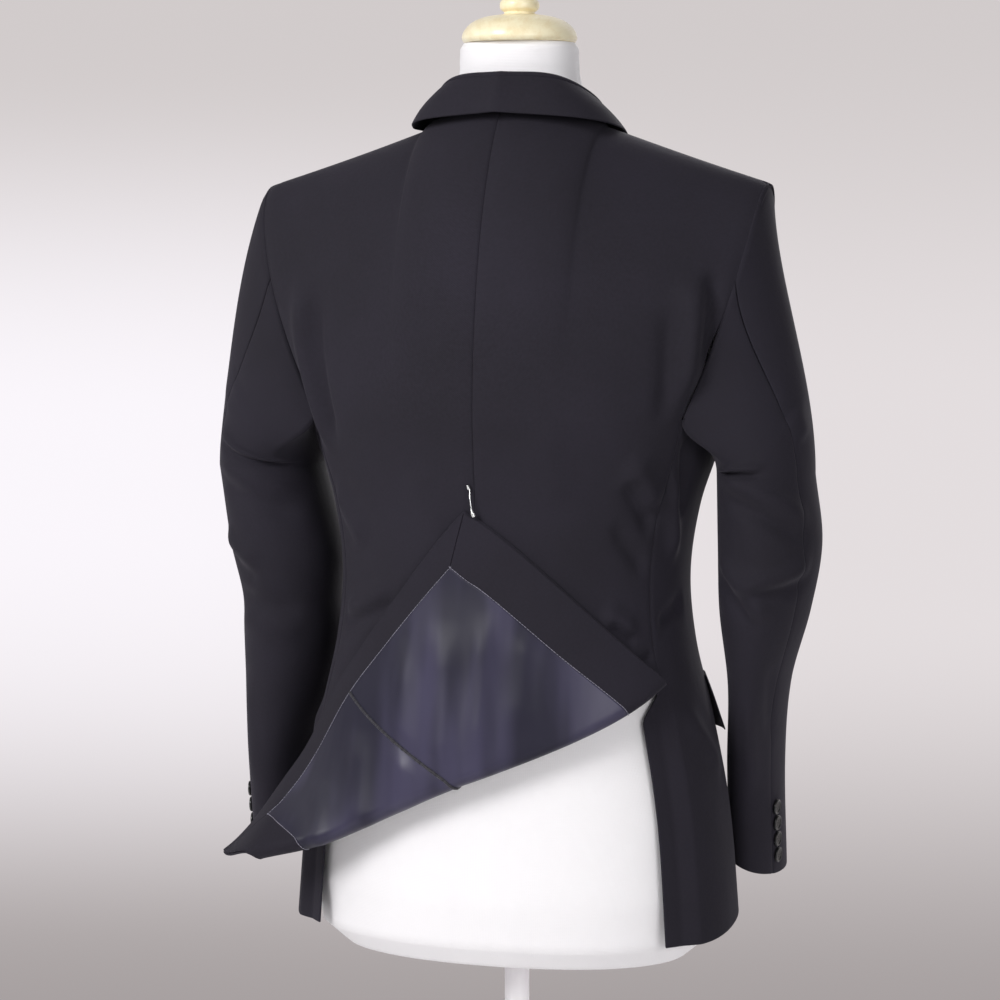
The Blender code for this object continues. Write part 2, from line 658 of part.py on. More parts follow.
# ---- trims ---------------------------------------------------------------------------------------
def rod(name, path, radii, finish, sides=10):
    """Closed rod along a path with a radius at each point."""
    builder = bmesh.new()
    rings = []
    for i, (point, radius) in enumerate(zip(path, radii)):
        along = (path[min(i + 1, len(path) - 1)] - path[max(i - 1, 0)]).normalized()
        first = along.cross(Vector((1.0, 0.0, 0.0))).normalized()
        second = along.cross(first)
        ring = []
        for k in range(sides):
            turn = 2 * math.pi * k / sides
            out = first * math.cos(turn) + second * math.sin(turn)
            ring.append(builder.verts.new(point + out * radius))
        rings.append(ring)
    for low, high in zip(rings, rings[1:]):
        for k in range(sides):
            builder.faces.new((low[k], low[(k + 1) % sides], high[(k + 1) % sides], high[k]))
    builder.faces.new(rings[0])
    builder.faces.new(rings[-1][::-1])
    return add_object(name, builder, finish)


def button(name, surface, u, v, lift, radius, finish):
    """Round button lying on a surface."""
    centre = lifted(surface, u, v, lift, step_u=0.2)
    normal = (lifted(surface, u, v, lift + 0.01, step_u=0.2) - centre).normalized()
    thick = radius * 0.36
    builder = bmesh.new()
    turn = normal.to_track_quat("Z", "Y").to_matrix().to_4x4()
    turn.translation = centre + normal * thick / 2
    bmesh.ops.create_cone(
        builder, cap_ends=True, segments=20, radius1=radius, radius2=radius * 0.9, depth=thick, matrix=turn
    )
    return add_object(name, builder, finish)


def build_skirt_trims(cloth, lining):
    """Turn-ups and lining on the inner face of the folded skirt."""
    inner = -(CLOTH + 0.0010)
    outer = inner - THIN
    half_turn = math.pi * ROLL + 0.001
    low = 0.0008

    def place(name, finish, first, second, across, along):
        wall(name, skirt, quad_rows(first, second, across, along), inner, outer, finish)

    def corner(side):
        return side_at(low, side) - side * low

    def inside(side, q):
        return side_at(q, side) - side * VENT_TURN_UP

    place(
        "hem_facing", cloth,
        ((corner(-1) + GAP, low), (inside(-1, HEM_TURN_UP) + GAP, HEM_TURN_UP)),
        ((corner(1) - GAP, low), (inside(1, HEM_TURN_UP) - GAP, HEM_TURN_UP)), 20, 3,
    )
    above = HEM_TURN_UP + 2 * GAP
    for name, side in (("left", 1), ("right", -1)):
        edge_top = edge_q(side, half_turn)
        edge_x = side_at(edge_top, side) - side * low
        inner_x = edge_x - side * VENT_TURN_UP
        inner_top = fold_q(inner_x, half_turn)
        place(
            f"vent_facing_{name}", cloth,
            ((corner(side), low + 2 * GAP), (edge_x, edge_top)),
            ((inside(side, above), above), (inner_x, inner_top)), 4, 10,
        )
        seam_top = edge_q(0, half_turn)
        half_seam = side * GAP / 2
        place(
            f"lining_{name}", lining,
            ((side_at(above, 0) + half_seam, above), (side_at(seam_top, 0) + half_seam, seam_top)),
            (
                (inside(side, above) - side * 2 * GAP, above + GAP),
                (inner_x - side * 2 * GAP, inner_top),
            ), 7, 5,
        )


def build_form(jersey, wood, enamel):
    """Limbless dress form: torso, wooden neck cap and finial, pole and plain base."""
    builder = bmesh.new()
    loops = []
    for row in FORM:
        loop = []
        for k in range(40):
            turn = 2 * math.pi * k / 40
            across, along = math.cos(turn), math.sin(turn)
            depth = row["back"] if along > 0 else row["front"]
            x = row["wide"] * math.copysign(abs(across) ** 0.9, across)
            y = row["y"] + depth * math.copysign(abs(along) ** 0.9, along)
            loop.append(builder.verts.new((x, y, row["z"])))
        loops.append(loop)
    for low, high in zip(loops, loops[1:]):
        for k in range(40):
            builder.faces.new((low[k], low[(k + 1) % 40], high[(k + 1) % 40], high[k]))
    builder.faces.new(loops[0][::-1])
    builder.faces.new(loops[-1])
    add_object("form_torso", builder, jersey, 60.0)

    top = FORM[-1]["z"] + GAP
    turned("neck_cap", [(radius, top + z) for radius, z in CAP], wood, (0.0, NECK_Y))
    stem = top + CAP[-1][1] + GAP
    turned("finial", [(radius, stem + z) for radius, z in KNOB], wood, (0.0, NECK_Y), 24)
    pole = [(POLE_RADIUS, PLATE[-1][1] + GAP), (POLE_RADIUS, FORM[0]["z"] - GAP)]
    turned("pole", pole, enamel, (0.0, 0.0), 24)
    turned("base", PLATE, enamel, (0.0, 0.0), 48)


def build_jacket(cloth, lining, horn, steel):
    """All of the jacket's pieces."""
    for name, side in (("left", 1), ("right", -1)):
        wall(f"back_{name}", back_surface, back_rows(side), 0.0, -CLOTH, cloth)
        wall(f"side_{name}", side_surface, side_rows(side), 0.0, -CLOTH, cloth, 0.2)
        wall(f"front_{name}", front_surface, front_rows(side), 0.0, -CLOTH, cloth, 0.2)
        wall(f"lapel_{name}", front_surface, lapel_rows(side), 0.0032, 0.0010, cloth, 0.2)
        wall(f"pocket_flap_{name}", flap_surface, pocket_flap_rows(side), THIN, 0.0, cloth, 0.2)
        sleeve = sleeve_surface(name)
        heights = spread(0.0, 1.0, 8) + spread(1.0, 2.0, 6)[1:]
        for part, first, last, count in (
            ("top", HIND_SEAM, FORE_SEAM, 11),
            ("under", FORE_SEAM, HIND_SEAM + 360.0, 11),
        ):
            angles = spread(first + SLEEVE_SEAM, last - SLEEVE_SEAM, count)
            rows = [[(side * angle, v) for angle in angles] for v in heights]
            wall(f"sleeve_{part}_{name}", sleeve, rows, 0.0, -CLOTH, cloth, 0.5)
        for index in range(4):
            v = (CUFF_BUTTON_RISE + CUFF_BUTTON_PITCH * index) / (BICEPS_Z - CUFF_Z)
            place = side * (HIND_SEAM + CUFF_BUTTON_TURN)
            button(f"cuff_button_{name}_{index + 1}", sleeve, place, v, 2 * GAP, CUFF_BUTTON_RADIUS, horn)
    heights = (0.0, 0.5, 1.0, 1.1, 1.2, 1.3, 1.55, 1.8, 2.0)
    collar = [[(u, v) for u in spread(-1.0, 1.0, 24)] for v in heights]
    wall("collar", collar_surface, collar, 0.0, -CLOTH, cloth, 0.01)
    build_skirt_trims(cloth, lining)
    for index in range(2):
        z = TOP_BUTTON_Z - index * BUTTON_PITCH
        button(f"front_button_{index + 1}", front_surface, 179.9, z, 0.0008, FRONT_BUTTON_RADIUS, horn)
    path = [lifted(torso, 0.4, z, lift, step_u=0.2) for z, lift, _ in PIN]
    rod("pin", path, [radius for _, _, radius in PIN], steel)


def main():
    """Clear the scene and build the object."""
    for old in list(bpy.data.objects):
        bpy.data.objects.remove(old)
    cloth = material("black_wool", (0.014, 0.014, 0.018), 0.75)
    lining = material("navy_satin", (0.030, 0.030, 0.055), 0.35)
    horn = material("black_horn", (0.010, 0.010, 0.010), 0.30)
    steel = material("pin_steel", (0.75, 0.75, 0.75), 0.25, 1.0)
    jersey = material("white_jersey", (0.90, 0.89, 0.90), 0.80)
    wood = material("pale_wood", (0.80, 0.62, 0.36), 0.35)
    enamel = material("white_enamel", (0.85, 0.83, 0.84), 0.35)
    build_form(jersey, wood, enamel)
    build_jacket(cloth, lining, horn, steel)


main()
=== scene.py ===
"""Studio scene of a slim suit jacket on a dress form, its back skirt folded up and pinned."""

import logging
import math
from collections.abc import Callable, Sequence
from dataclasses import dataclass, field
from enum import Enum

import bmesh
import bpy
import numpy as np
from mathutils import Euler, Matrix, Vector


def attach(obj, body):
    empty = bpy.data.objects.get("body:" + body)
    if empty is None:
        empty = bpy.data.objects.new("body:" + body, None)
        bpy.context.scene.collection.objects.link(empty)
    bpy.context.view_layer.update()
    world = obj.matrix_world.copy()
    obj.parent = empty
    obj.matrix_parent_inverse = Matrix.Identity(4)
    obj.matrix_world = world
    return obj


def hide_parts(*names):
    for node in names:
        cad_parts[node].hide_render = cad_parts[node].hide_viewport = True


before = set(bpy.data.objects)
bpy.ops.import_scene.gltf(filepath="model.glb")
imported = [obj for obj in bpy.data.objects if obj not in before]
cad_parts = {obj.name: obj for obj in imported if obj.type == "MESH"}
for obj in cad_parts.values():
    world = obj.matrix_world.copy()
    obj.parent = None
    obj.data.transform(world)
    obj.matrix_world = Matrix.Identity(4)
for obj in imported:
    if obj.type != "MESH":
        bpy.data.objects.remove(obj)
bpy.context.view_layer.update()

LOG = logging.getLogger("suit_jacket")
Array = np.ndarray
Surface = Callable[[Array, Array], Array]
Colour = tuple[float, float, float]
Object, Material = bpy.types.Object, bpy.types.Material

CLOTH = 0.0018
THIN = 0.0010
GAP = 0.0003
HEM_Z = 0.738
VENT_TOP_Z = 0.985
ARMPIT_Z = 1.200
TOP_V = 1.420
TOP_BUTTON_Z = 1.085
BUTTON_PITCH = 0.105
CENTRE = np.array((-0.0020, 0.0, 0.0))
SIDES = {"left": 1, "right": -1}
STEP, DEGREE_STEP = 0.5e-3, 0.2  # spans for slopes: in metres, and in degrees round the body
EDGE_STRIP = 0.0012  # width of the narrow strips of mesh along a cloth edge
SIDE_RADIUS, FRONT_RADIUS, LAPEL_RADIUS, ARM_RADIUS = 0.185, 0.17, 0.13, 0.052


# ---- curves and fields ---------------------------------------------------------------------------
def smooth(t: Array | float) -> Array | float:
    """Smooth step from 0 to 1."""
    t = np.clip(t, 0.0, 1.0)
    return t * t * (3.0 - 2.0 * t)


def eased(value: Array | float, start: float, span: float) -> Array | float:
    """Smooth step that leaves 0 at a start and reaches 1 a span further on."""
    return smooth((value - start) / span)


def mix(a: Array | float, b: Array | float, t: Array | float) -> Array | float:
    """Blend from a to b, numbers or arrays, by a share t."""
    return a * (1.0 - t) + b * t


def cubic(start: Array, leave: Array, end: Array, arrive: Array, t: Array) -> Array:
    """Hermite curve between two points.

    Args:
        start: Point at share 0.
        leave: Direction there, as long as the curve is quick.
        end: Point at share 1.
        arrive: Direction there.
        t: The share.

    Returns:
        The point.
    """
    square, cube = t * t, t * t * t
    return (
        start * (2 * cube - 3 * square + 1) + leave * (cube - 2 * square + t)
        + end * (3 * square - 2 * cube) + arrive * (cube - square)
    )


def unit(vectors: Array) -> Array:
    """Vectors scaled to length one."""
    return vectors / np.maximum(np.linalg.norm(vectors, axis=-1, keepdims=True), 1e-12)


class Table:
    """Columns of sizes, read between their rows at places along the first column."""

    def __init__(self, names: str, rows: Sequence[Sequence[float | tuple]]) -> None:
        """Sort the rows.

        Args:
            names: Names of the columns, with spaces between.
            rows: The values of each row, in the same order.
        """
        ordered = sorted(rows, key=lambda row: row[0])
        self.key, *columns = (np.array(column, float) for column in zip(*ordered))
        self.columns = dict(zip(names.split()[1:], columns))

    def _span(self, at: Array) -> tuple[Array, Array]:
        """Index of the row below each place, and the share of the way to the next."""
        low = np.clip(np.searchsorted(self.key, at, side="left") - 1, 0, len(self.key) - 2)
        return low, (at - self.key[low]) / (self.key[low + 1] - self.key[low])

    def curve(self, name: str, at: Array | float) -> Array:
        """Catmull-Rom value of a column.

        Args:
            name: The column.
            at: Places along the key column.

        Returns:
            One value or vector for each place.
        """
        at = np.asarray(at, float)
        low, t = self._span(at)
        t = np.clip(t, 0.0, 1.0)
        last = len(self.key) - 1
        before, after = np.maximum(low - 1, 0), np.minimum(low + 2, last)
        value, key = self.columns[name], self.key
        span = key[low + 1] - key[low]
        first, second = span / (key[low + 1] - key[before]), span / (key[after] - key[low])
        if value.ndim > 1:
            t, first, second = t[..., None], first[..., None], second[..., None]
        leave, arrive = (value[low + 1] - value[before]) * first, (value[after] - value[low]) * second
        return cubic(value[low], leave, value[low + 1], arrive, t)

    def line(self, name: str, at: Array) -> Array:
        """Straight interpolation of a column.

        Args:
            name: The column.
            at: Places along the key column.

        Returns:
            One value or vector for each place.
        """
        low, t = self._span(np.asarray(at, float))
        value = self.columns[name]
        return mix(value[low], value[low + 1], t)


def lifted(surface: Surface, u: Array, v: Array, lift: Array | float, step_u: float = STEP) -> Array:
    """Points of a surface moved along its outward normal.

    Args:
        surface: Maps (u, v) to points.
        u: First parameter.
        v: Second parameter.
        lift: Distance along the normal.
        step_u: Half the span over which the slope along u is taken.

    Returns:
        One point for each (u, v).
    """
    along = surface(u + step_u, v) - surface(u - step_u, v)
    up = surface(u, v + STEP) - surface(u, v - STEP)
    return surface(u, v) + unit(np.cross(up, along)) * np.asarray(lift)[..., None]


FOLD_DEPTH = 1.45  # one scale for all folds
FOLD_FADE = 0.3  # share of a fold over which each end fades in


def faded(share: Array) -> Array:
    """1 along a fold and falling to 0 at its ends."""
    return smooth(share / FOLD_FADE) * smooth((1 - share) / FOLD_FADE)


@dataclass(frozen=True)
class Fold:
    """A soft fold in cloth, from start to end in metres across and up the cloth."""

    start: tuple[float, float]
    end: tuple[float, float]
    width: float
    height: float
    bow: float = 0.0

    def relief(self, x: Array, y: Array) -> Array:
        """Height of the fold over the cloth.

        Args:
            x: Metres across the cloth.
            y: Metres up the cloth.

        Returns:
            Metres out of the cloth.
        """
        start, end = np.array(self.start), np.array(self.end)
        length = float(np.linalg.norm(end - start))
        along = (end - start) / length
        a = ((x - start[0]) * along[0] + (y - start[1]) * along[1]) / length
        d = (x - start[0]) * -along[1] + (y - start[1]) * along[0]
        d = d - self.bow * length * 4 * np.clip(a, 0, 1) * (1 - np.clip(a, 0, 1))
        return FOLD_DEPTH * self.height * np.exp(-((d / self.width) ** 2)) * faded(a)


def fold_relief(folds: Sequence[Fold], x: Array, y: Array) -> Array:
    """Sum of several folds at places on the cloth, in metres."""
    return sum((fold.relief(x, y) for fold in folds), np.zeros_like(x))


def spaced(size: float, pitch: float) -> Array:
    """Shares from 0 to 1 across a length, closer together at both ends.

    Args:
        size: The length in metres.
        pitch: Spacing in the middle.

    Returns:
        Rising shares.
    """
    strip = EDGE_STRIP / size
    inner = np.linspace(3 * strip, 1 - 3 * strip, max(3, int(round(size / pitch))))
    return np.concatenate(([0.0, strip], inner, [1 - strip, 1.0]))


def hem_rows(top: float, count: int) -> Array:
    """Heights from the hem to just below a level, closer together at the hem."""
    start = np.linspace(HEM_Z + 3 * EDGE_STRIP, top, count)[:-1]
    return np.concatenate(([HEM_Z, HEM_Z + EDGE_STRIP], start))


# ---- the shape of the jacket ---------------------------------------------------------------------
RINGS = Table("z wide back front y", (
    (0.730, 0.204, 0.140, 0.142, 0.0),
    (0.850, 0.193, 0.136, 0.138, 0.0),
    (0.940, 0.176, 0.131, 0.132, 0.002),
    (1.000, 0.162, 0.125, 0.128, 0.004),
    (1.060, 0.157, 0.119, 0.124, 0.004),
    (1.120, 0.165, 0.122, 0.130, 0.002),
    (1.170, 0.181, 0.129, 0.137, 0.0),
    (1.200, 0.188, 0.132, 0.140, 0.0),
))
RING_POWER = 0.90
SIDE_LIFT, HEM_RISE, HEM_FADE = 0.006, 0.014, 0.2
NECK_SIDE = np.array((0.082, -0.006, 1.4525))
SHOULDER_TIP = np.array((0.234, -0.004, 1.402))
NAPE = np.array((0.0, 0.052, 1.4650))
FRONT_NECK = np.array((0.0, -0.070, 1.370))
SIDE_BACK, SIDE_FRONT = 62.0, 118.0
NECK_SHARE, NECK_TURN = 0.36, 62.0
SHOULDER_SHIFT = 0.006
CHEST = 0.50  # how early the body widens above the armpit
SEAM = 0.11


def powered(value: Array) -> Array:
    """Sine or cosine of a slightly squared ring."""
    return np.copysign(np.abs(value) ** RING_POWER, value)


def squared_ring(read: Callable[[str, Array], Array], across: Array, along: Array, z: Array) -> Array:
    """Point of a slightly squared ring.

    Args:
        read: Reads a column of sizes at a height.
        across: Share of its half width.
        along: Share of its depth, above 0 at the back.
        z: The height.

    Returns:
        The point.
    """
    depth = np.where(along > 0, read("back", z), read("front", z))
    x = read("wide", z) * powered(across)
    return np.stack(np.broadcast_arrays(x, read("y", z) + depth * powered(along), z), axis=-1)


def ring_point(angle: Array, z: Array) -> Array:
    """Point of the body's ring at a height; angle in degrees from the centre back to +X."""
    turn = np.radians(angle)
    return squared_ring(RINGS.curve, np.sin(turn), np.cos(turn), z)


def top_point(share: Array, behind: Array) -> Array:
    """Point of the neckline and shoulder ridge: share 0 at the centre, 1 at the shoulder tip.

    Args:
        share: Share of the way from the centre to the shoulder tip.
        behind: Whether it is at the back.

    Returns:
        The points.
    """
    t = np.clip((share - NECK_SHARE) / (1.0 - NECK_SHARE), 0.0, 1.0)[..., None]
    shoulder = mix(NECK_SIDE, SHOULDER_TIP, t) - np.array((0, 0, 0.001)) * np.sin(np.pi * t)
    turn = (share / NECK_SHARE * np.pi / 2)[..., None]
    middle = np.where(behind[..., None], NAPE, FRONT_NECK)
    neck = mix(NECK_SIDE, middle, np.cos(turn))
    neck[..., 0] = NECK_SIDE[0] * np.sin(turn[..., 0])
    return np.where((share >= NECK_SHARE)[..., None], shoulder, neck)


def torso(angle: Array, v: Array) -> Array:
    """Body surface: rings up to the armpit, then columns arching over to the shoulder ridge.

    Args:
        angle: Degrees round the body from the centre back.
        v: Height up to the armpit, then the way on to the ridge.

    Returns:
        The points.
    """
    angle, v = np.broadcast_arrays(np.asarray(angle, float), np.asarray(v, float))
    low_part = ring_point(angle, np.minimum(v, ARMPIT_Z))
    behind = np.abs(angle) < 90
    share = np.where(behind, np.abs(angle) / SIDE_BACK, (180 - np.abs(angle)) / (180 - SIDE_FRONT))
    low = ring_point(np.abs(angle), np.full_like(v, ARMPIT_Z))
    top = top_point(np.minimum(share, 1.0), behind)
    last_turn = np.radians(mix(NECK_TURN, 90.0, np.minimum(share / NECK_SHARE, 1.0)))
    turn = (v - ARMPIT_Z) / (TOP_V - ARMPIT_Z) * last_turn
    rise = np.sin(turn) / np.sin(last_turn)
    run = (np.cos(turn) - np.cos(last_turn)) / (1 - np.cos(last_turn))
    width = mix(low[..., 0], top[..., 0], rise * (1 + CHEST - CHEST * rise))
    x = np.copysign(width, angle) + SHOULDER_SHIFT * rise * smooth(share - NECK_SHARE)
    arch = np.stack((x, mix(top[..., 1], low[..., 1], run), mix(low[..., 2], top[..., 2], rise)), axis=-1)
    return np.where((v <= ARMPIT_Z)[..., None], low_part, arch)


VENT_HALF = 0.170
HEM_X = {1: 0.210, 0: 0.020, -1: -0.176}  # flat x of the left corner, the centre and the right corner
SKIRT_Q = VENT_TOP_Z - HEM_Z
FOLD_AT = np.array((-0.170, 0.240))
PINNED_X = 0.012
ROLL = 0.0045  # radius of the skirt's fold
REST = 0.0006  # how far the folded corner stands off the cloth below it
FREE_Y, FREE_Q = 0.141, 0.10
FREE_BEND, BEND_ROUNDS = (2.9, 0.55), 6
# The free cloth's shape; each pair is where a change begins and the span that it takes.
BEND_Q = (0.04, 0.20)
CURL, CURL_X, CURL_Q = 0.034, (0.06, 0.15), (0.02, 0.10)
DROOP, DROOP_X = 0.019, (0.195, 0.055)
SAG, SAG_X = 0.10, 0.10
FLAP_POWER = 0.6


def fold_frame() -> tuple[Array, Array]:
    """Directions along the skirt's fold and across it, in the flat cloth.

    Returns:
        Two unit vectors.
    """
    corner = np.array((HEM_X[-1], 0.0)) - FOLD_AT
    lifted_angle = math.acos((PINNED_X - FOLD_AT[0]) / float(np.linalg.norm(corner)))
    middle = (lifted_angle + math.atan2(corner[1], corner[0])) / 2
    along = np.array((math.cos(middle), math.sin(middle)))
    return along, np.array((along[1], -along[0]))


FOLD_ALONG, FOLD_DOWN = fold_frame()
CORNER_REACH = float((np.array((HEM_X[-1], 0.0)) - FOLD_AT) @ FOLD_DOWN)
HALF_TURN = math.pi * ROLL


def skirt_base(x_flat: Array, q: Array) -> Array:
    """Where the skirt's cloth would lie unfolded: on the body above the vents, free below.

    Args:
        x_flat: Metres to the left across the flat cloth.
        q: Metres above the flat cloth's hem.

    Returns:
        The points.
    """
    near = eased(q, FREE_Q, SKIRT_Q - FREE_Q)
    bend = np.where(x_flat < 0, FREE_BEND[0], mix(FREE_BEND[1], FREE_BEND[0], eased(q, *BEND_Q)))
    x = x_flat
    for _ in range(BEND_ROUNDS):
        x = x - (x + 2 / 3 * bend * bend * x ** 3 - x_flat) / (1 + 2 * bend * bend * x * x)
    curl = eased(x_flat, *CURL_X) * (1 - eased(q, *CURL_Q))
    sag = SAG * np.maximum(x_flat - SAG_X, 0.0) + DROOP * eased(x_flat, *DROOP_X) - CURL * curl
    free = np.stack((x, FREE_Y + CURL / 2 * curl - bend * x * x, HEM_Z + q - sag), axis=-1)
    return mix(free, torso(x_flat / VENT_HALF * SIDE_BACK, HEM_Z + q), near[..., None])


def skirt(x_flat: Array, q: Array) -> Array:
    """The folded skirt's outer cloth face, from flat cloth coordinates.

    Args:
        x_flat: Metres to the left across the flat cloth.
        q: Metres above the flat cloth's hem.

    Returns:
        The points.
    """
    x_flat, q = np.broadcast_arrays(np.asarray(x_flat, float), np.asarray(q, float))
    beyond = (x_flat - FOLD_AT[0]) * FOLD_DOWN[0] + (q - FOLD_AT[1]) * FOLD_DOWN[1]
    along = (x_flat - FOLD_AT[0]) * FOLD_ALONG[0] + (q - FOLD_AT[1]) * FOLD_ALONG[1]
    turn = np.clip(beyond, 0.0, HALF_TURN) / ROLL
    flap = eased(beyond, HALF_TURN, CORNER_REACH - HALF_TURN) ** FLAP_POWER
    across = np.where(beyond <= 0, beyond, ROLL * np.sin(turn) - np.maximum(beyond - HALF_TURN, 0.0))
    height = np.where(beyond <= HALF_TURN, ROLL * (1 - np.cos(turn)), mix(2 * ROLL, REST, flap))
    x = FOLD_AT[0] + FOLD_ALONG[0] * along + FOLD_DOWN[0] * across
    y = FOLD_AT[1] + FOLD_ALONG[1] * along + FOLD_DOWN[1] * across
    return lifted(skirt_base, x, y, height)


def side_at(q: Array | float, side: int) -> Array | float:
    """Flat x of the skirt's vent edge (side 1 or -1) or centre seam (0) at a height above the hem."""
    return mix(HEM_X[side], side * VENT_HALF, q / SKIRT_Q)


def fold_q(x: float, beyond: float) -> float:
    """Height above the hem where a line at constant flat x lies a distance beyond the fold."""
    return FOLD_AT[1] + (beyond - (x - FOLD_AT[0]) * FOLD_DOWN[0]) / FOLD_DOWN[1]


def edge_q(side: int, beyond: float) -> float:
    """The same on a vent edge (side 1 or -1) or on the centre seam (side 0).

    Args:
        side: 1, -1 or 0.
        beyond: Metres beyond the fold.

    Returns:
        Metres above the flat cloth's hem.
    """
    low = float((np.array((side_at(0.0, side), 0.0)) - FOLD_AT) @ FOLD_DOWN)
    high = float((np.array((side_at(SKIRT_Q, side), SKIRT_Q)) - FOLD_AT) @ FOLD_DOWN)
    return (beyond - low) / (high - low) * SKIRT_Q


def back_surface(x_flat: Array, v: Array) -> Array:
    """Back of the jacket: folded skirt below the vent tops, body above.

    Args:
        x_flat: Metres to the left across the flat cloth.
        v: Height in metres.

    Returns:
        The points.
    """
    x_flat, v = np.broadcast_arrays(np.asarray(x_flat, float), np.asarray(v, float))
    low = skirt(x_flat, np.minimum(v, VENT_TOP_Z) - HEM_Z)
    return np.where((v < VENT_TOP_Z)[..., None], low, torso(x_flat / VENT_HALF * SIDE_BACK, v))


UNDERLAP, UNDER_DROP, UNDER_DEPTH = 9.0, 0.018, 0.0074
RAMP, RAMP_END = 6.0, 66.0


def side_surface(angle: Array, v: Array) -> Array:
    """Side of the jacket; its underlap lies behind the back's edge below the vent top."""
    under = np.clip((RAMP_END - np.abs(angle)) / RAMP, 0, 1) * smooth((VENT_TOP_Z - v) / UNDER_DROP)
    return lifted(torso, angle, v, -UNDER_DEPTH * under, DEGREE_STEP)


LAP, LAP_ANGLES = 0.0032, (158.0, 12.0)
OVERLAP = 0.018
FRONT_EDGE = Table("v x", (
    (0.735, 0.085),
    (0.748, 0.052),
    (0.790, 0.020),
    (0.860, -0.006),
    (0.940, -OVERLAP),
    (1.085, -OVERLAP),
    (1.200, 0.030),
))


def front_surface(angle: Array, v: Array) -> Array:
    """Front of the jacket; the wearer's left front laps over the right one at the centre.

    Args:
        angle: Degrees round the body from the centre back.
        v: Height in metres.

    Returns:
        The points.
    """
    angle = np.asarray(angle)
    over = np.where(angle > 0, eased(angle, *LAP_ANGLES), 0.0)
    return lifted(torso, angle, v, LAP * over, DEGREE_STEP)


def front_edge_angle(v: Array) -> Array:
    """Angle of the front's edge: cutaway, overlap, then the roll line up to the neck.

    Args:
        v: Height in metres.

    Returns:
        Degrees round the body from the centre back.
    """
    low = np.minimum(v, ARMPIT_Z)
    angle = 180.0 - np.degrees(np.arcsin(FRONT_EDGE.curve("x", low) / RINGS.curve("wide", low)))
    neck = 180.0 - (180.0 - SIDE_FRONT) * NECK_SHARE
    return np.where(v <= ARMPIT_Z, angle, mix(angle, neck, (v - ARMPIT_Z) / (TOP_V - ARMPIT_Z)))


ARMPIT_DIP = 0.012


def armpit_dip(across: Array) -> Array:
    """Depth of the rounded armhole below its corners."""
    return ARMPIT_DIP * np.sin(np.pi * np.clip(across, 0.0, 1.0))


def armhole(place: Array, side: int) -> Array:
    """Point of the armhole's edge: 0-1 up its back edge, 1-2 down its front, 2-3 under the arm.

    Args:
        place: Place round the armhole.
        side: 1 for left, -1 for right.

    Returns:
        The points.
    """
    place = place % 3.0
    rising = torso(side * SIDE_BACK, mix(ARMPIT_Z, TOP_V, np.clip(place, 0, 1)))
    falling = torso(side * SIDE_FRONT, mix(TOP_V, ARMPIT_Z, np.clip(place - 1.0, 0, 1)))
    across = np.clip(place - 2.0, 0, 1)
    under = torso(side * mix(SIDE_FRONT, SIDE_BACK, across), ARMPIT_Z - armpit_dip(across))
    place = place[..., None]
    return np.where(place <= 1.0, rising, np.where(place <= 2.0, falling, under))


HIND_SEAM, FORE_SEAM, SLEEVE_SEAM = 58.0, 228.0, 0.45
BICEPS_Z, CUFF_Z, CUFF_TILT = 1.150, 0.776, 0.018
HEAD_BULGE = {"left": 0.38, "right": 0.02}
HEAD_GAP, HEAD_SLOPE = 0.0010, 0.1
HEAD = Table("angle place", (
    (HIND_SEAM, 0.40),
    (105.0, 1.00),
    (190.0, 1.62),
    (FORE_SEAM, 1.86),
    (275.0, 2.50),
    (335.0, 3.00),
    (360.0 + HIND_SEAM, 3.40),
))
SLEEVES = {
    "left": Table("z x y wide deep", (
        (1.150, 0.235, 0.000, 0.0450, 0.068),
        (1.075, 0.2200, 0.002, 0.0490, 0.065),
        (1.030, 0.2165, -0.002, 0.0430, 0.063),
        (0.995, 0.2175, -0.007, 0.0435, 0.062),
        (0.940, 0.226, -0.018, 0.0375, 0.060),
        (0.880, 0.236, -0.032, 0.0310, 0.058),
        (0.778, 0.242, -0.050, 0.0250, 0.056),
    )),
    "right": Table("z x y wide deep", (
        (1.150, 0.2275, 0.000, 0.0415, 0.068),
        (1.090, 0.231, -0.002, 0.0445, 0.066),
        (1.030, 0.225, -0.012, 0.0390, 0.062),
        (0.960, 0.214, -0.042, 0.0260, 0.059),
        (0.880, 0.202, -0.085, 0.0240, 0.057),
        (0.778, 0.198, -0.116, 0.0240, 0.056),
    )),
}


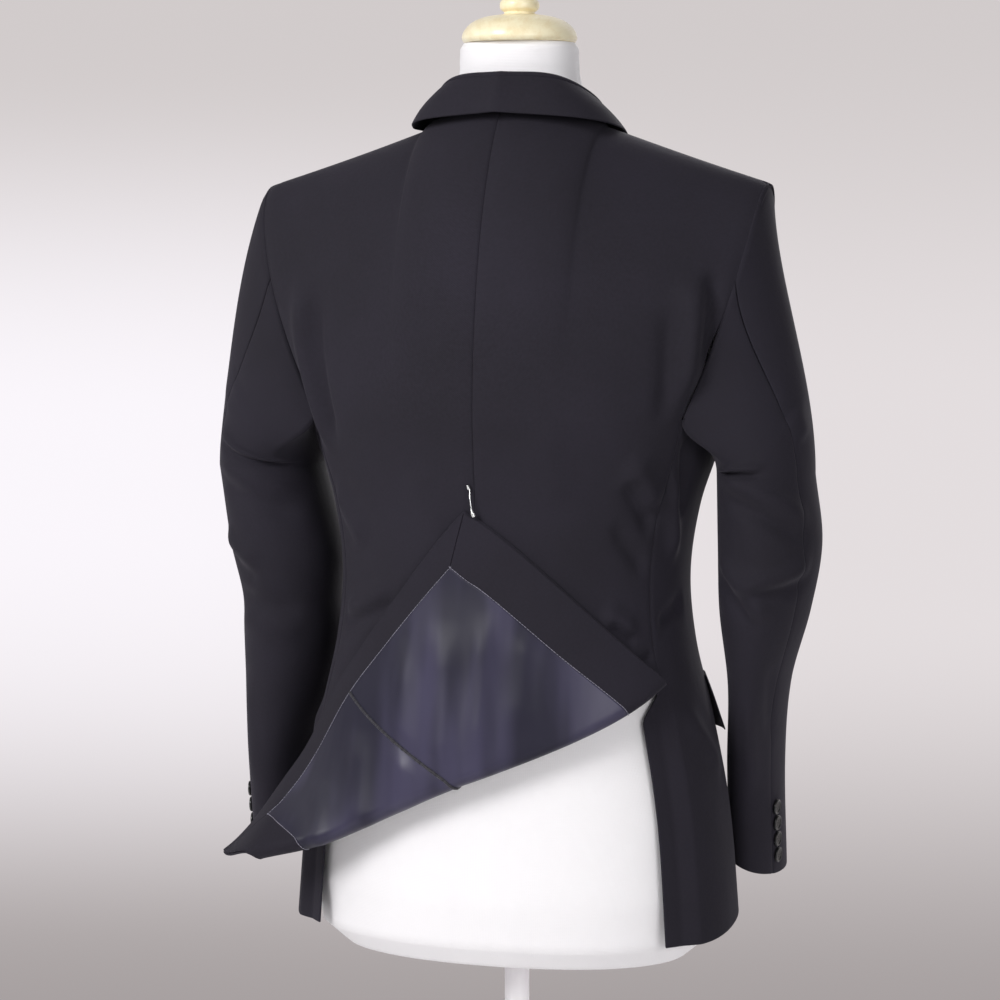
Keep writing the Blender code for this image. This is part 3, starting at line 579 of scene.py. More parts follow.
def sleeve_surface(name: str) -> Surface:
    """Surface of one sleeve: angle in degrees, v 0 at the cuff, 1 at the biceps, 2 at the armhole.

    Args:
        name: left or right.

    Returns:
        A function of angle and v.
    """
    side, rings = SIDES[name], SLEEVES[name]

    def ring(angle: Array, z: Array) -> Array:
        """Point of the arm's ring at a height.

        Args:
            angle: Degrees round the arm from its back.
            z: Height in metres.

        Returns:
            The points.
        """
        turn = np.radians(angle)
        x = side * (rings.curve("x", z) + rings.curve("wide", z) * np.sin(turn))
        y = rings.curve("y", z) + rings.curve("deep", z) * np.cos(turn)
        return np.stack(np.broadcast_arrays(x, y, z), axis=-1)

    def surface(u: Array, v: Array) -> Array:
        """Rings up to the biceps, then a curved head up to the armhole.

        Args:
            u: Degrees round the arm, below 0 on the right.
            v: Place up the sleeve.

        Returns:
            The points.
        """
        u, v = np.broadcast_arrays(np.asarray(u, float), np.asarray(v, float))
        angle = np.abs(u)
        cuff = CUFF_Z + CUFF_TILT * (1 - np.sin(np.radians(angle))) / 2
        low = ring(angle, mix(cuff, BICEPS_Z, np.clip(v, -0.2, 1.0)))
        start = ring(angle, np.full_like(v, BICEPS_Z))
        around = np.where(angle >= HIND_SEAM, angle, angle + 360.0)
        end = armhole(HEAD.line("place", around), side) - np.array((side * HEAD_GAP, 0.0, 0.0))
        reach = np.linalg.norm(end - start, axis=-1, keepdims=True)
        high = (end[..., 2:] - ARMPIT_Z) / (SHOULDER_TIP[2] - ARMPIT_Z)
        up = np.array((0.0, 0.0, 1.0))
        arrive = (np.array((-side * HEAD_BULGE[name], 0.0, -HEAD_SLOPE)) * high + up) * reach
        head = cubic(start, up * reach, end, arrive, (v - 1.0)[..., None])
        return np.where((v <= 1.0)[..., None], low, head)

    return surface


COLLAR = Table("u fold foot fall", (
    (0.00, (0.000, 0.049, 1.4980), (0.000, 0.0520, 1.4658), (0.000, 0.0690, 1.4640)),
    (0.25, (0.043, 0.034, 1.4950), (0.050, 0.0398, 1.4632), (0.068, 0.0535, 1.4588)),
    (0.45, (0.067, 0.000, 1.4790), (0.0797, -0.0040, 1.4533), (0.0925, 0.0130, 1.4530)),
    (0.65, (0.0690, -0.040, 1.4570), (0.0780, -0.0390, 1.4430), (0.0900, -0.042, 1.4440)),
    (1.00, (0.067, -0.094, 1.3930), (0.072, -0.0900, 1.3900), (0.104, -0.094, 1.3750)),
))
COLLAR_ROLL = 1.3  # where the roll of the fold ends and the fall begins
ROLL_DROP = np.array((0.0, 0.0, 0.003))  # how far the roll's ends lie below the fold line
# Shares of the fall's reach: where the roll begins, its middle, half its width and where it ends,
# and how far the stand and the fall bow outwards.
ROLL_START, ROLL_MIDDLE, ROLL_HALF, ROLL_END = 0.10, 0.06, 0.16, 0.22
STAND_BOW, FALL_BOW = 0.05, 0.10


def collar_surface(u: Array, v: Array) -> Array:
    """Collar: u -1 to 1 round the neck, v 0 at the foot of the stand, 1 at the fold, 2 at the edge.

    Args:
        u: Place round the neck.
        v: Place over the fold.

    Returns:
        The points.
    """
    u, v = np.broadcast_arrays(np.asarray(u, float), np.asarray(v, float))
    fold, foot, fall = (COLLAR.curve(name, np.abs(u)) for name in ("fold", "foot", "fall"))
    outward = (fall - fold) * np.array((1.0, 1.0, 0.0))
    v = v[..., None]
    stand = mix(foot, fold - outward * ROLL_START - ROLL_DROP, v) - outward * STAND_BOW * np.sin(np.pi * v)
    turn = np.clip((v - 1.0) / (COLLAR_ROLL - 1.0), 0, 1) * np.pi
    swing = outward * ROLL_HALF * np.cos(turn)
    roll = fold + outward * ROLL_MIDDLE - ROLL_DROP - swing + ROLL_DROP * np.sin(turn)
    t = (v - COLLAR_ROLL) / (2.0 - COLLAR_ROLL)
    leaf = mix(fold + outward * ROLL_END - ROLL_DROP, fall, t) + outward * FALL_BOW * np.sin(np.pi * t)
    point = np.where(v <= 1.0, stand, np.where(v <= COLLAR_ROLL, roll, leaf))
    point[..., 0] = np.copysign(point[..., 0], u)
    return point


# ---- meshes --------------------------------------------------------------------------------------
PROFILE_STEPS = 6  # steps between two points of a turned profile
RIM_BULGE = 0.35  # how far a cloth edge rounds out, as a share of its thickness


def linked(name: str, data: bpy.types.ID) -> Object:
    """New object in the scene with this mesh, lamp or camera.

    Args:
        name: Name of the object.
        data: Its mesh, lamp or camera.

    Returns:
        The object.
    """
    piece = bpy.data.objects.new(name, data)
    bpy.context.scene.collection.objects.link(piece)
    return piece


def baked(source: Object) -> bpy.types.Mesh:
    """Plain mesh of an object with its modifiers applied."""
    return bpy.data.meshes.new_from_object(source.evaluated_get(bpy.context.evaluated_depsgraph_get()))


def full_turn(sides: int) -> Array:
    """Even angles once round, in radians."""
    return np.arange(sides) * 2 * np.pi / sides


def ring_faces(rings: int, sides: int) -> list[Sequence[int]]:
    """Faces between rings of points that follow one another.

    Args:
        rings: Number of rings.
        sides: Points in each.

    Returns:
        Vertex numbers of each face.
    """
    faces = []
    for low in range(0, (rings - 1) * sides, sides):
        for k in range(sides):
            n = (k + 1) % sides
            faces.append((low + k, low + n, low + sides + n, low + sides + k))
    return faces


def closed_faces(rings: int, sides: int) -> list[Sequence[int]]:
    """The same with a flat face at each end."""
    count = rings * sides
    return [*ring_faces(rings, sides), range(sides), range(count - sides, count)]


def object_from(
    name: str, points: Array, faces: Sequence[Sequence[int]], uv: Array | None = None
) -> Object:
    """Mesh object at the origin, smooth shaded, its faces pointing outwards.

    Args:
        name: Name of the piece.
        points: One row for each vertex.
        faces: Vertex numbers of each face.
        uv: Metres across and up the cloth at each vertex.

    Returns:
        The linked object.
    """
    mesh = bpy.data.meshes.new(name)
    mesh.from_pydata(np.asarray(points, float).tolist(), [], [list(map(int, face)) for face in faces])
    if uv is not None:
        corners = np.zeros(len(mesh.loops), np.int32)
        mesh.loops.foreach_get("vertex_index", corners)
        mesh.uv_layers.new(name="cloth").data.foreach_set("uv", np.asarray(uv, np.float32)[corners].ravel())
    builder = bmesh.new()
    builder.from_mesh(mesh)
    bmesh.ops.recalc_face_normals(builder, faces=builder.faces)
    builder.to_mesh(mesh)
    builder.free()
    mesh.shade_smooth()
    return linked(name, mesh)


@dataclass
class Shell:
    """A closed cloth wall over a grid of (u, v) places, with a rounded rim."""

    surface: Surface
    u: Array
    v: Array
    x: Array
    y: Array
    outer: Array | float = 0.0
    inner: Array | float = -CLOTH
    relief: Array | float = 0.0
    step_u: float = STEP

    def layers(self) -> tuple[Array, Array]:
        """Outer and inner face as grids of points.

        Returns:
            Both grids.
        """
        lifts = (np.broadcast_to(lift + self.relief, self.u.shape) for lift in (self.outer, self.inner))
        front, back = (lifted(self.surface, self.u, self.v, lift, self.step_u) for lift in lifts)
        return front + CENTRE, back + CENTRE

    def build(self, name: str) -> Object:
        """Make the wall.

        Args:
            name: Name of the piece.

        Returns:
            The closed mesh object.
        """
        front, back = self.layers()
        rows, columns = self.u.shape
        number = np.arange(rows * columns).reshape(rows, columns)
        a, b, c, d = number[:-1, :-1], number[:-1, 1:], number[1:, 1:], number[1:, :-1]
        outer = np.stack((a, b, c, d), axis=-1).reshape(-1, 4)
        inner = np.stack((a, d, c, b), axis=-1).reshape(-1, 4) + rows * columns
        loop = np.concatenate((number[0, :-1], number[:-1, -1], number[-1, :0:-1], number[:0:-1, 0]))
        inside = np.concatenate((number[1, :-1], number[:-1, -2], number[-2, :0:-1], number[:0:-1, 1]))
        front_flat, back_flat = front.reshape(-1, 3), back.reshape(-1, 3)
        middle = (front_flat[loop] + back_flat[loop]) / 2
        away = unit(front_flat[loop] - front_flat[inside])
        thick = np.linalg.norm(front_flat[loop] - back_flat[loop], axis=-1, keepdims=True)
        middle = middle + away * thick * RIM_BULGE
        edge = np.arange(len(loop)) + 2 * rows * columns
        following = np.roll(np.arange(len(loop)), -1)
        rim_front = np.stack((loop, edge, edge[following], loop[following]), axis=-1)
        shifted = loop + rows * columns
        rim_back = np.stack((edge, shifted, shifted[following], edge[following]), axis=-1)
        points = np.concatenate((front_flat, back_flat, middle))
        cloth = np.stack((self.x.ravel(), self.y.ravel()), axis=-1)
        uv = np.concatenate((cloth, cloth, cloth[loop]))
        return object_from(name, points, np.concatenate((outer, inner, rim_front, rim_back)).tolist(), uv)


def seam_dent(distance: Array, depth: float = 0.0007, width: float = 0.0022) -> Array:
    """Hollow that the stitches of a seam pull into the cloth at a distance from it."""
    return -depth * np.exp(-((distance / width) ** 2))


def turned(
    name: str, profile: Sequence[tuple[float, float]], centre: tuple[float, float], sides: int = 96
) -> Object:
    """Solid turned round an upright axis from a profile of (radius, height), rounded by its spline.

    Args:
        name: Name of the piece.
        profile: Points from the bottom to the top.
        centre: X and Y of the axis.
        sides: Number of sides.

    Returns:
        The closed mesh object.
    """
    last = len(profile) - 1
    table = Table("place r z", [(i, *point) for i, point in enumerate(profile)])
    steps = np.linspace(0, last, last * PROFILE_STEPS + 1)
    radii, heights = table.curve("r", steps), table.curve("z", steps)
    turn = full_turn(sides)
    x = centre[0] + radii[:, None] * np.cos(turn)
    y = centre[1] + radii[:, None] * np.sin(turn)
    z = np.broadcast_to(heights[:, None], x.shape)
    ends = np.array([(*centre, heights[0]), (*centre, heights[-1])])
    points = np.concatenate((np.stack((x, y, z), axis=-1).reshape(-1, 3), ends)) + CENTRE
    faces, count, top = ring_faces(len(steps), sides), len(points), (len(steps) - 1) * sides
    for k in range(sides):
        n = (k + 1) % sides
        faces += [(count - 2, n, k), (count - 1, top + k, top + n)]
    return object_from(name, points, faces)


# ---- finishes ------------------------------------------------------------------------------------
class Sock:
    """A node's output that takes part in arithmetic."""

    def __init__(self, shader: "Shader", link: bpy.types.NodeSocket) -> None:
        """Keep the material builder and the output."""
        self.shader, self.link = shader, link

    def _with(self, operation: str, other: "Sock | float", swap: bool = False) -> "Sock":
        """Add a Math node on this value and another, which comes first when swapped."""
        values = (other, self) if swap else (self, other)
        return self.shader.node("ShaderNodeMath", {"operation": operation}, dict(enumerate(values)))

    def __add__(self, other: "Sock | float") -> "Sock":
        """Sum."""
        return self._with("ADD", other)

    def __sub__(self, other: "Sock | float") -> "Sock":
        """Difference."""
        return self._with("SUBTRACT", other)

    def __rsub__(self, other: float) -> "Sock":
        """Difference from a number."""
        return self._with("SUBTRACT", other, True)

    def __mul__(self, other: "Sock | float") -> "Sock":
        """Product."""
        return self._with("MULTIPLY", other)

    def wave(self, pitch: float) -> "Sock":
        """Even waves between 0 and 1 along this length."""
        turns = self * (2 * math.pi / pitch)
        return self.shader.node("ShaderNodeMath", {"operation": "SINE"}, {0: turns}) * 0.5 + 0.5

    def ramp(self, low: float, high: float) -> "Sock":
        """Smooth step of this value between two limits.

        Args:
            low: Where it leaves 0.
            high: Where it reaches 1.

        Returns:
            The step.
        """
        return self.shader.node(
            "ShaderNodeMapRange", {"interpolation_type": "SMOOTHSTEP"}, {0: self, 1: low, 2: high}
        )

    __radd__ = __add__
    __rmul__ = __mul__


class Shader:
    """Builds one material's nodes."""

    def __init__(self, name: str) -> None:
        """Start an empty material with its output.

        Args:
            name: Name of the material.
        """
        self.material = bpy.data.materials.new(name)
        self.material.use_nodes = True
        self.tree = self.material.node_tree
        self.tree.nodes.clear()
        self.output = self.tree.nodes.new("ShaderNodeOutputMaterial")

    def node(
        self, kind: str, settings: dict | None = None, inputs: dict | None = None, output: int | str = 0
    ) -> Sock:
        """Add a node.

        Args:
            kind: The node's type.
            settings: Its properties.
            inputs: Values or Socks by socket name or number.
            output: Name or number of the output to return.

        Returns:
            The output as a Sock.
        """
        node = self.tree.nodes.new(kind)
        for key, value in (settings or {}).items():
            setattr(node, key, value)
        for key, value in (inputs or {}).items():
            if isinstance(value, Sock):
                self.tree.links.new(value.link, node.inputs[key])
            else:
                node.inputs[key].default_value = value
        return Sock(self, node.outputs[output])

    def place(self, own_uv: bool) -> Sock:
        """Coordinates in metres: along the cloth, or in the object's space.

        Args:
            own_uv: Whether they follow the cloth.

        Returns:
            The coordinates.
        """
        if own_uv:
            return self.node("ShaderNodeUVMap", {"uv_map": "cloth"})
        return self.node("ShaderNodeTexCoord", output="Object")

    def scaled(self, place: Sock, scale: tuple[float, float, float]) -> Sock:
        """Coordinates multiplied by a number on each axis."""
        return self.node("ShaderNodeMapping", inputs={"Vector": place, "Scale": scale})

    def noise(self, place: Sock, scale: float, detail: float = 3.0, rough: float = 0.55) -> Sock:
        """Noise between 0 and 1, with its grains to a metre, finer levels and their share."""
        inputs = {"Vector": place, "Scale": scale, "Detail": detail, "Roughness": rough}
        return self.node("ShaderNodeTexNoise", inputs=inputs)

    def parts(self, place: Sock) -> tuple[Sock, Sock, Sock]:
        """The three numbers of a vector."""
        node = self.node("ShaderNodeSeparateXYZ", inputs={0: place}).link.node
        return tuple(Sock(self, node.outputs[index]) for index in range(3))

    def blend(self, first: tuple | Sock, second: tuple | Sock, share: Sock | float) -> Sock:
        """Mix of two colours.

        Args:
            first: Colour at share 0.
            second: Colour at share 1.
            share: Place between them.

        Returns:
            The colour.
        """
        pair = {6: first, 7: second}
        pair = {k: c if isinstance(c, Sock) else (*c, 1.0) for k, c in pair.items()}
        return self.node("ShaderNodeMix", {"data_type": "RGBA"}, {0: share, **pair}, output=2)

    def bump(self, height: Sock, distance: float, strength: float = 1.0, normal: Sock | None = None) -> Sock:
        """Bumped normal.

        Args:
            height: The relief.
            distance: Height in metres of a value of 1.
            strength: Share of the effect.
            normal: The normal to start from.

        Returns:
            The normal.
        """
        inputs = {"Height": height, "Distance": distance, "Strength": strength}
        if normal is not None:
            inputs["Normal"] = normal
        return self.node("ShaderNodeBump", inputs=inputs)

    def finish(self, **inputs: "Sock | float | tuple") -> Material:
        """Close the material with a Principled shader.

        Args:
            inputs: Its sockets, with underscores for spaces.

        Returns:
            The material.
        """
        sockets = {key.replace("_", " "): value for key, value in inputs.items()}
        sockets = {k: (*c, 1.0) if isinstance(c, tuple) and len(c) == 3 else c for k, c in sockets.items()}
        surface = self.node("ShaderNodeBsdfPrincipled", inputs=sockets)
        self.tree.links.new(surface.link, self.output.inputs["Surface"])
        return self.material


@dataclass(frozen=True)
class Wool:
    """Fine worsted twill, almost black."""

    name: str = "worsted_wool"
    dark: Colour = (0.0132, 0.0118, 0.0160)
    light: Colour = (0.0225, 0.0196, 0.0300)
    twill: float = 0.0011

    def material(self) -> Material:
        """Twill lines, fine yarn fleck and slow changes of tone.

        Returns:
            The finished material.
        """
        s = Shader(self.name)
        cloth = s.place(True)
        x, y, _ = s.parts(cloth)
        line = (x + y).wave(self.twill)
        yarn = s.noise(s.scaled(cloth, (900.0, 2600.0, 1.0)), 1.0, 2.0)
        fleck = s.noise(cloth, 420.0, 2.0)
        cloud = s.noise(s.place(False), 7.0, 4.0)
        tone = line * 0.18 + yarn * 0.30 + fleck * 0.22 + cloud * 0.55
        colour = s.blend(self.dark, self.light, tone.ramp(0.30, 0.95))
        height = line * 0.5 + yarn * 0.5
        slow = s.noise(s.place(False), 26.0, 3.0)
        normal = s.bump(height, 0.00010, 0.55, s.bump(slow, 0.0022, 0.35))
        return s.finish(
            Base_Color=colour, Roughness=0.86 - fleck * 0.10, Normal=normal,
            Specular_IOR_Level=0.16, Sheen_Weight=0.06, Sheen_Roughness=0.50, Sheen_Tint=(0.85, 0.80, 0.95),
        )


@dataclass(frozen=True)
class Satin:
    """Blue-grey satin lining with soft upright streaks of painted sheen."""

    name: str = "navy_satin"
    # dark is the satin's own colour; light is the colour of its painted sheen
    dark: Colour = (0.014, 0.0125, 0.027)
    light: Colour = (0.050, 0.045, 0.084)

    def material(self) -> Material:
        """Streaks of painted sheen that hang with the cloth, over a fine rib.

        Returns:
            The finished material.
        """
        s = Shader(self.name)
        space = s.place(False)
        sheen_streak = s.noise(s.scaled(space, (30.0, 30.0, 3.4)), 1.0, 2.0, 0.45)
        broad_sheen = s.noise(s.scaled(space, (13.0, 13.0, 2.4)), 1.0, 2.0)
        x, _, _ = s.parts(s.place(True))
        rib = x.wave(0.0008)
        # painted sheen: the streaks and broad bands blend the colour from dark towards the lighter painted
        # sheen
        tone = (sheen_streak * 0.55 + broad_sheen * 0.45).ramp(0.40, 0.62)
        colour = s.blend(self.dark, self.light, tone)
        normal = s.bump(rib, 0.00004, 0.4, s.bump(sheen_streak, 0.0030, 0.5))
        return s.finish(
            Base_Color=colour, Roughness=0.46 - tone * 0.10, Normal=normal,
            Specular_IOR_Level=0.30, Sheen_Weight=0.05, Sheen_Roughness=0.30, Sheen_Tint=(0.80, 0.80, 1.0),
        )


@dataclass(frozen=True)
class Jersey:
    """White knitted jersey with fine upright wales."""

    name: str = "white_jersey"
    colour: Colour = (0.915, 0.895, 0.912)
    shade: Colour = (0.870, 0.850, 0.868)

    def material(self) -> Material:
        """Knit rib, courses and slight greying.

        Returns:
            The finished material.
        """
        s = Shader(self.name)
        x, y, _ = s.parts(s.place(True))
        wale, course = x.wave(0.0016), y.wave(0.0013)
        cloud = s.noise(s.place(False), 9.0, 4.0)
        knit = wale * course
        colour = s.blend(self.colour, self.shade, cloud.ramp(0.42, 0.75) * 0.6 + knit * 0.12)
        normal = s.bump(knit, 0.00022, 0.5, s.bump(cloud, 0.004, 0.25))
        return s.finish(Base_Color=colour, Roughness=0.82 + knit * 0.08, Normal=normal, Sheen_Weight=0.12)


@dataclass(frozen=True)
class Wood:
    """Pale lacquered beech with rings of turning and grain."""

    name: str = "pale_wood"
    light: Colour = (0.97, 0.88, 0.62)
    dark: Colour = (0.88, 0.74, 0.46)

    def material(self) -> Material:
        """Long grain with pores under a clear lacquer.

        Returns:
            The finished material.
        """
        s = Shader(self.name)
        space = s.place(False)
        grain = s.noise(s.scaled(space, (130.0, 18.0, 130.0)), 1.0, 5.0, 0.6)
        pore = s.noise(s.scaled(space, (900.0, 70.0, 900.0)), 1.0, 2.0)
        colour = s.blend(self.light, self.dark, (grain * 0.75 + pore * 0.25).ramp(0.38, 0.72))
        normal = s.bump(grain * 0.6 + pore * 0.4, 0.00020, 0.35)
        return s.finish(
            Base_Color=colour, Roughness=0.42 - grain * 0.12, Normal=normal,
            Coat_Weight=0.35, Coat_Roughness=0.18,
        )


@dataclass(frozen=True)
class Horn:
    """Black horn with faint brown clouds."""

    name: str = "black_horn"

    def material(self) -> Material:
        """Clouds and fine scratches.

        Returns:
            The finished material.
        """
        s = Shader(self.name)
        space = s.place(False)
        cloud = s.noise(space, 160.0, 4.0)
        scratch = s.noise(s.scaled(space, (2500.0, 300.0, 900.0)), 1.0, 2.0)
        colour = s.blend((0.008, 0.008, 0.009), (0.035, 0.028, 0.026), cloud.ramp(0.5, 0.8))
        return s.finish(
            Base_Color=colour, Roughness=0.26 + scratch * 0.12, Normal=s.bump(scratch, 0.00003, 0.5),
            Coat_Weight=0.25, Coat_Roughness=0.15,
        )


@dataclass(frozen=True)
class Metal:
    """A smooth metal or its enamel."""

    name: str
    colour: Colour
    metallic: float
    roughness: float

    def material(self) -> Material:
        """Fine brushing and slight wear.

        Returns:
            The finished material.
        """
        s = Shader(self.name)
        space = s.place(False)
        brush = s.noise(s.scaled(space, (1200.0, 1200.0, 60.0)), 1.0, 2.0)
        cloud = s.noise(space, 14.0, 3.0)
        worn = tuple(channel * 0.90 for channel in self.colour)
        colour = s.blend(self.colour, worn, cloud.ramp(0.45, 0.75))
        return s.finish(
            Base_Color=colour, Metallic=self.metallic, Roughness=self.roughness + brush * 0.08,
            Normal=s.bump(brush, 0.00003, 0.4),
        )


@dataclass(frozen=True)
class Thread:
    """Twisted sewing thread."""

    name: str
    colour: Colour

    def material(self) -> Material:
        """A slight twist in tone.

        Returns:
            The finished material.
        """
        s = Shader(self.name)
        twist = s.noise(s.place(False), 1800.0, 1.0)
        dark = tuple(channel * 0.7 for channel in self.colour)
        return s.finish(Base_Color=s.blend(self.colour, dark, twist), Roughness=0.6, Sheen_Weight=0.1)


class Finish(Enum):
    """The finishes of the object, with the record's slot for each."""

    WOOL = "black_wool"
    SATIN = "navy_satin"
    JERSEY = "white_jersey"
    WOOD = "pale_wood"
    HORN = "black_horn"
    STEEL = "pin_steel"
    ENAMEL = "white_enamel"
    DARK_THREAD = "dark_thread"
    PALE_THREAD = "pale_thread"


MAKERS = {
    Finish.WOOL: Wool(),
    Finish.SATIN: Satin(),
    Finish.JERSEY: Jersey(),
    Finish.WOOD: Wood(),
    Finish.HORN: Horn(),
    Finish.STEEL: Metal("pin_steel", (0.78, 0.78, 0.78), 1.0, 0.22),
    Finish.ENAMEL: Metal("white_enamel", (0.95, 0.92, 0.94), 0.0, 0.34),
    Finish.DARK_THREAD: Thread("black_thread", (0.022, 0.020, 0.028)),
    Finish.PALE_THREAD: Thread("lining_thread", (0.30, 0.29, 0.36)),
}


@dataclass
class Wardrobe:
    """Makes each finish once and gives finished pieces their material and body."""

    made: dict[Finish, Material] = field(default_factory=dict)

    def material(self, finish: Finish) -> Material:
        """The material of a finish.

        Args:
            finish: The finish.

        Returns:
            Its material.
        """
        if finish not in self.made:
            self.made[finish] = MAKERS[finish].material()
        return self.made[finish]

    def dress(self, piece: Object, finish: Finish, *nodes: str) -> Object:
        """Give a finished piece its material and body, and hide the solids it stands for.

        Args:
            piece: The mesh object.
            finish: Its finish.
            nodes: Names of the solids.

        Returns:
            The same object.
        """
        piece.data.materials.clear()
        piece.data.materials.append(self.material(finish))
        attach(piece, "root")
        if nodes:
            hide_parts(*nodes)
        LOG.info("%s: %d faces", piece.name, len(piece.data.polygons))
        return piece


# ---- repeated pieces -----------------------------------------------------------------------------
@dataclass
class NodeTool:
    """A Geometry Nodes tree with named inputs, applied to a mesh and taken off again."""

    name: str
    tree: bpy.types.NodeTree = field(init=False)
    inputs: dict[str, str] = field(default_factory=dict)

    def __post_init__(self) -> None:
        """Start the tree with its geometry sockets."""
        self.tree = bpy.data.node_groups.new(self.name, "GeometryNodeTree")
        self.tree.interface.new_socket("Geometry", in_out="OUTPUT", socket_type="NodeSocketGeometry")
        self.add_input("Geometry", "NodeSocketGeometry")
        self.start = self.tree.nodes.new("NodeGroupInput")
        self.end = self.tree.nodes.new("NodeGroupOutput")

    def add_input(self, name: str, kind: str) -> None:
        """Add a named input of a socket type."""
        self.inputs[name] = self.tree.interface.new_socket(name, in_out="INPUT", socket_type=kind).identifier

    def node(self, kind: str, settings: dict | None = None, inputs: dict | None = None) -> bpy.types.Node:
        """Add a node.

        Args:
            kind: The node's type.
            settings: Its properties.
            inputs: For each socket a value, an output socket or the name of a group input.

        Returns:
            The node.
        """
        node = self.tree.nodes.new(kind)
        for key, value in (settings or {}).items():
            setattr(node, key, value)
        for key, value in (inputs or {}).items():
            if isinstance(value, bpy.types.NodeSocket):
                self.tree.links.new(value, node.inputs[key])
            elif isinstance(value, str):
                self.tree.links.new(self.start.outputs[value], node.inputs[key])
            else:
                node.inputs[key].default_value = value
        return node

    def close(self, geometry: bpy.types.NodeSocket) -> None:
        """End the tree: realize the copies and give them their material.

        Args:
            geometry: The copies.
        """
        real = self.node("GeometryNodeRealizeInstances", inputs={0: geometry})
        painted = self.node("GeometryNodeSetMaterial", inputs={0: real.outputs[0], "Material": "Material"})
        self.tree.links.new(painted.outputs[0], self.end.inputs[0])

    def apply(self, name: str, source: Object, values: dict[str, object]) -> Object:
        """Run the tree on an object and keep the result as a plain mesh.

        Args:
            name: Name of the new piece.
            source: Object whose mesh goes in; it is removed.
            values: Values of the named inputs.

        Returns:
            The new mesh object.
        """
        modifier = source.modifiers.new(self.name, "NODES")
        modifier.node_group = self.tree
        for key, value in values.items():
            modifier[self.inputs[key]] = value
        mesh = baked(source)
        bpy.data.objects.remove(source)
        mesh.name = name
        mesh.shade_smooth()
        return linked(name, mesh)


def stitch_tool() -> NodeTool:
    """Tree that lays short thread stitches along the edges of a mesh.

    Returns:
        The tool.
    """
    tool = NodeTool("stitch_run")
    for name, kind in (("Pitch", "Float"), ("Length", "Float"), ("Radius", "Float"), ("Seed", "Int")):
        tool.add_input(name, f"NodeSocket{kind}")
    tool.add_input("Material", "NodeSocketMaterial")
    curve = tool.node("GeometryNodeMeshToCurve", inputs={"Mesh": "Geometry"})
    points = tool.node(
        "GeometryNodeCurveToPoints", {"mode": "LENGTH"}, {"Curve": curve.outputs[0], "Length": "Pitch"}
    )
    stitch = tool.node(
        "GeometryNodeMeshCylinder", {"fill_type": "TRIANGLE_FAN"},
        {"Vertices": 6, "Side Segments": 3, "Radius": "Radius", "Depth": "Length"},
    )
    jitter = tool.node(
        "FunctionNodeRandomValue", {"data_type": "FLOAT"}, {"Min": 0.88, "Max": 1.10, "Seed": "Seed"}
    )
    copies = tool.node(
        "GeometryNodeInstanceOnPoints",
        inputs={
            "Points": points.outputs["Points"], "Instance": stitch.outputs["Mesh"],
            "Rotation": points.outputs["Rotation"], "Scale": jitter.outputs[1],
        },
    )
    tool.close(copies.outputs[0])
    return tool


def button_tool(button: Object) -> NodeTool:
    """Tree that sets a copy of the button on each point, square to the point's normal.

    Args:
        button: The button that it copies.

    Returns:
        The tool.
    """
    tool = NodeTool("button_run")
    tool.add_input("Size", "NodeSocketFloat")
    tool.add_input("Turn", "NodeSocketRotation")
    tool.add_input("Material", "NodeSocketMaterial")
    normal = tool.node("GeometryNodeInputNamedAttribute", {"data_type": "FLOAT_VECTOR"})
    normal.inputs["Name"].default_value = "facing"
    shape = tool.node("GeometryNodeObjectInfo", inputs={"Object": button})
    turn = tool.node("FunctionNodeAlignRotationToVector", {"axis": "Z"}, {"Vector": normal.outputs[0]})
    copies = tool.node(
        "GeometryNodeInstanceOnPoints",
        inputs={
            "Points": "Geometry", "Instance": shape.outputs["Geometry"],
            "Rotation": turn.outputs[0], "Scale": "Size",
        },
    )
    spin = {"Instances": copies.outputs[0], "Rotation": "Turn"}
    spun = tool.node("GeometryNodeRotateInstances", inputs=spin)
    tool.close(spun.outputs[0])
    return tool


def strands(name: str, paths: Sequence[Array]) -> Object:
    """Mesh of open chains of edges, one for each path of points.

    Args:
        name: Name of the object.
        paths: Points along each chain.

    Returns:
        The object.
    """
    points, edges = [], []
    for path in paths:
        first = len(points)
        points.extend(path.tolist())
        edges.extend((first + i, first + i + 1) for i in range(len(path) - 1))
    mesh = bpy.data.meshes.new(name)
    mesh.from_pydata(points, edges, [])
    return linked(name, mesh)


def tube(name: str, path: Array, radii: Array, sides: int = 16) -> Object:
    """Closed round rod along a path.

    Args:
        name: Name of the piece.
        path: Points of the middle line.
        radii: Radius at each point.
        sides: Number of sides.

    Returns:
        The closed mesh object.
    """
    along = unit(np.gradient(path, axis=0))
    first = unit(np.cross(along, np.array((1.0, 0.0, 0.0))))
    second = np.cross(along, first)
    turn = full_turn(sides)
    ring = first[:, None] * np.cos(turn)[:, None] + second[:, None] * np.sin(turn)[:, None]
    points = (path[:, None] + ring * np.asarray(radii)[:, None, None]).reshape(-1, 3)
    return object_from(name, points, closed_faces(len(path), sides))


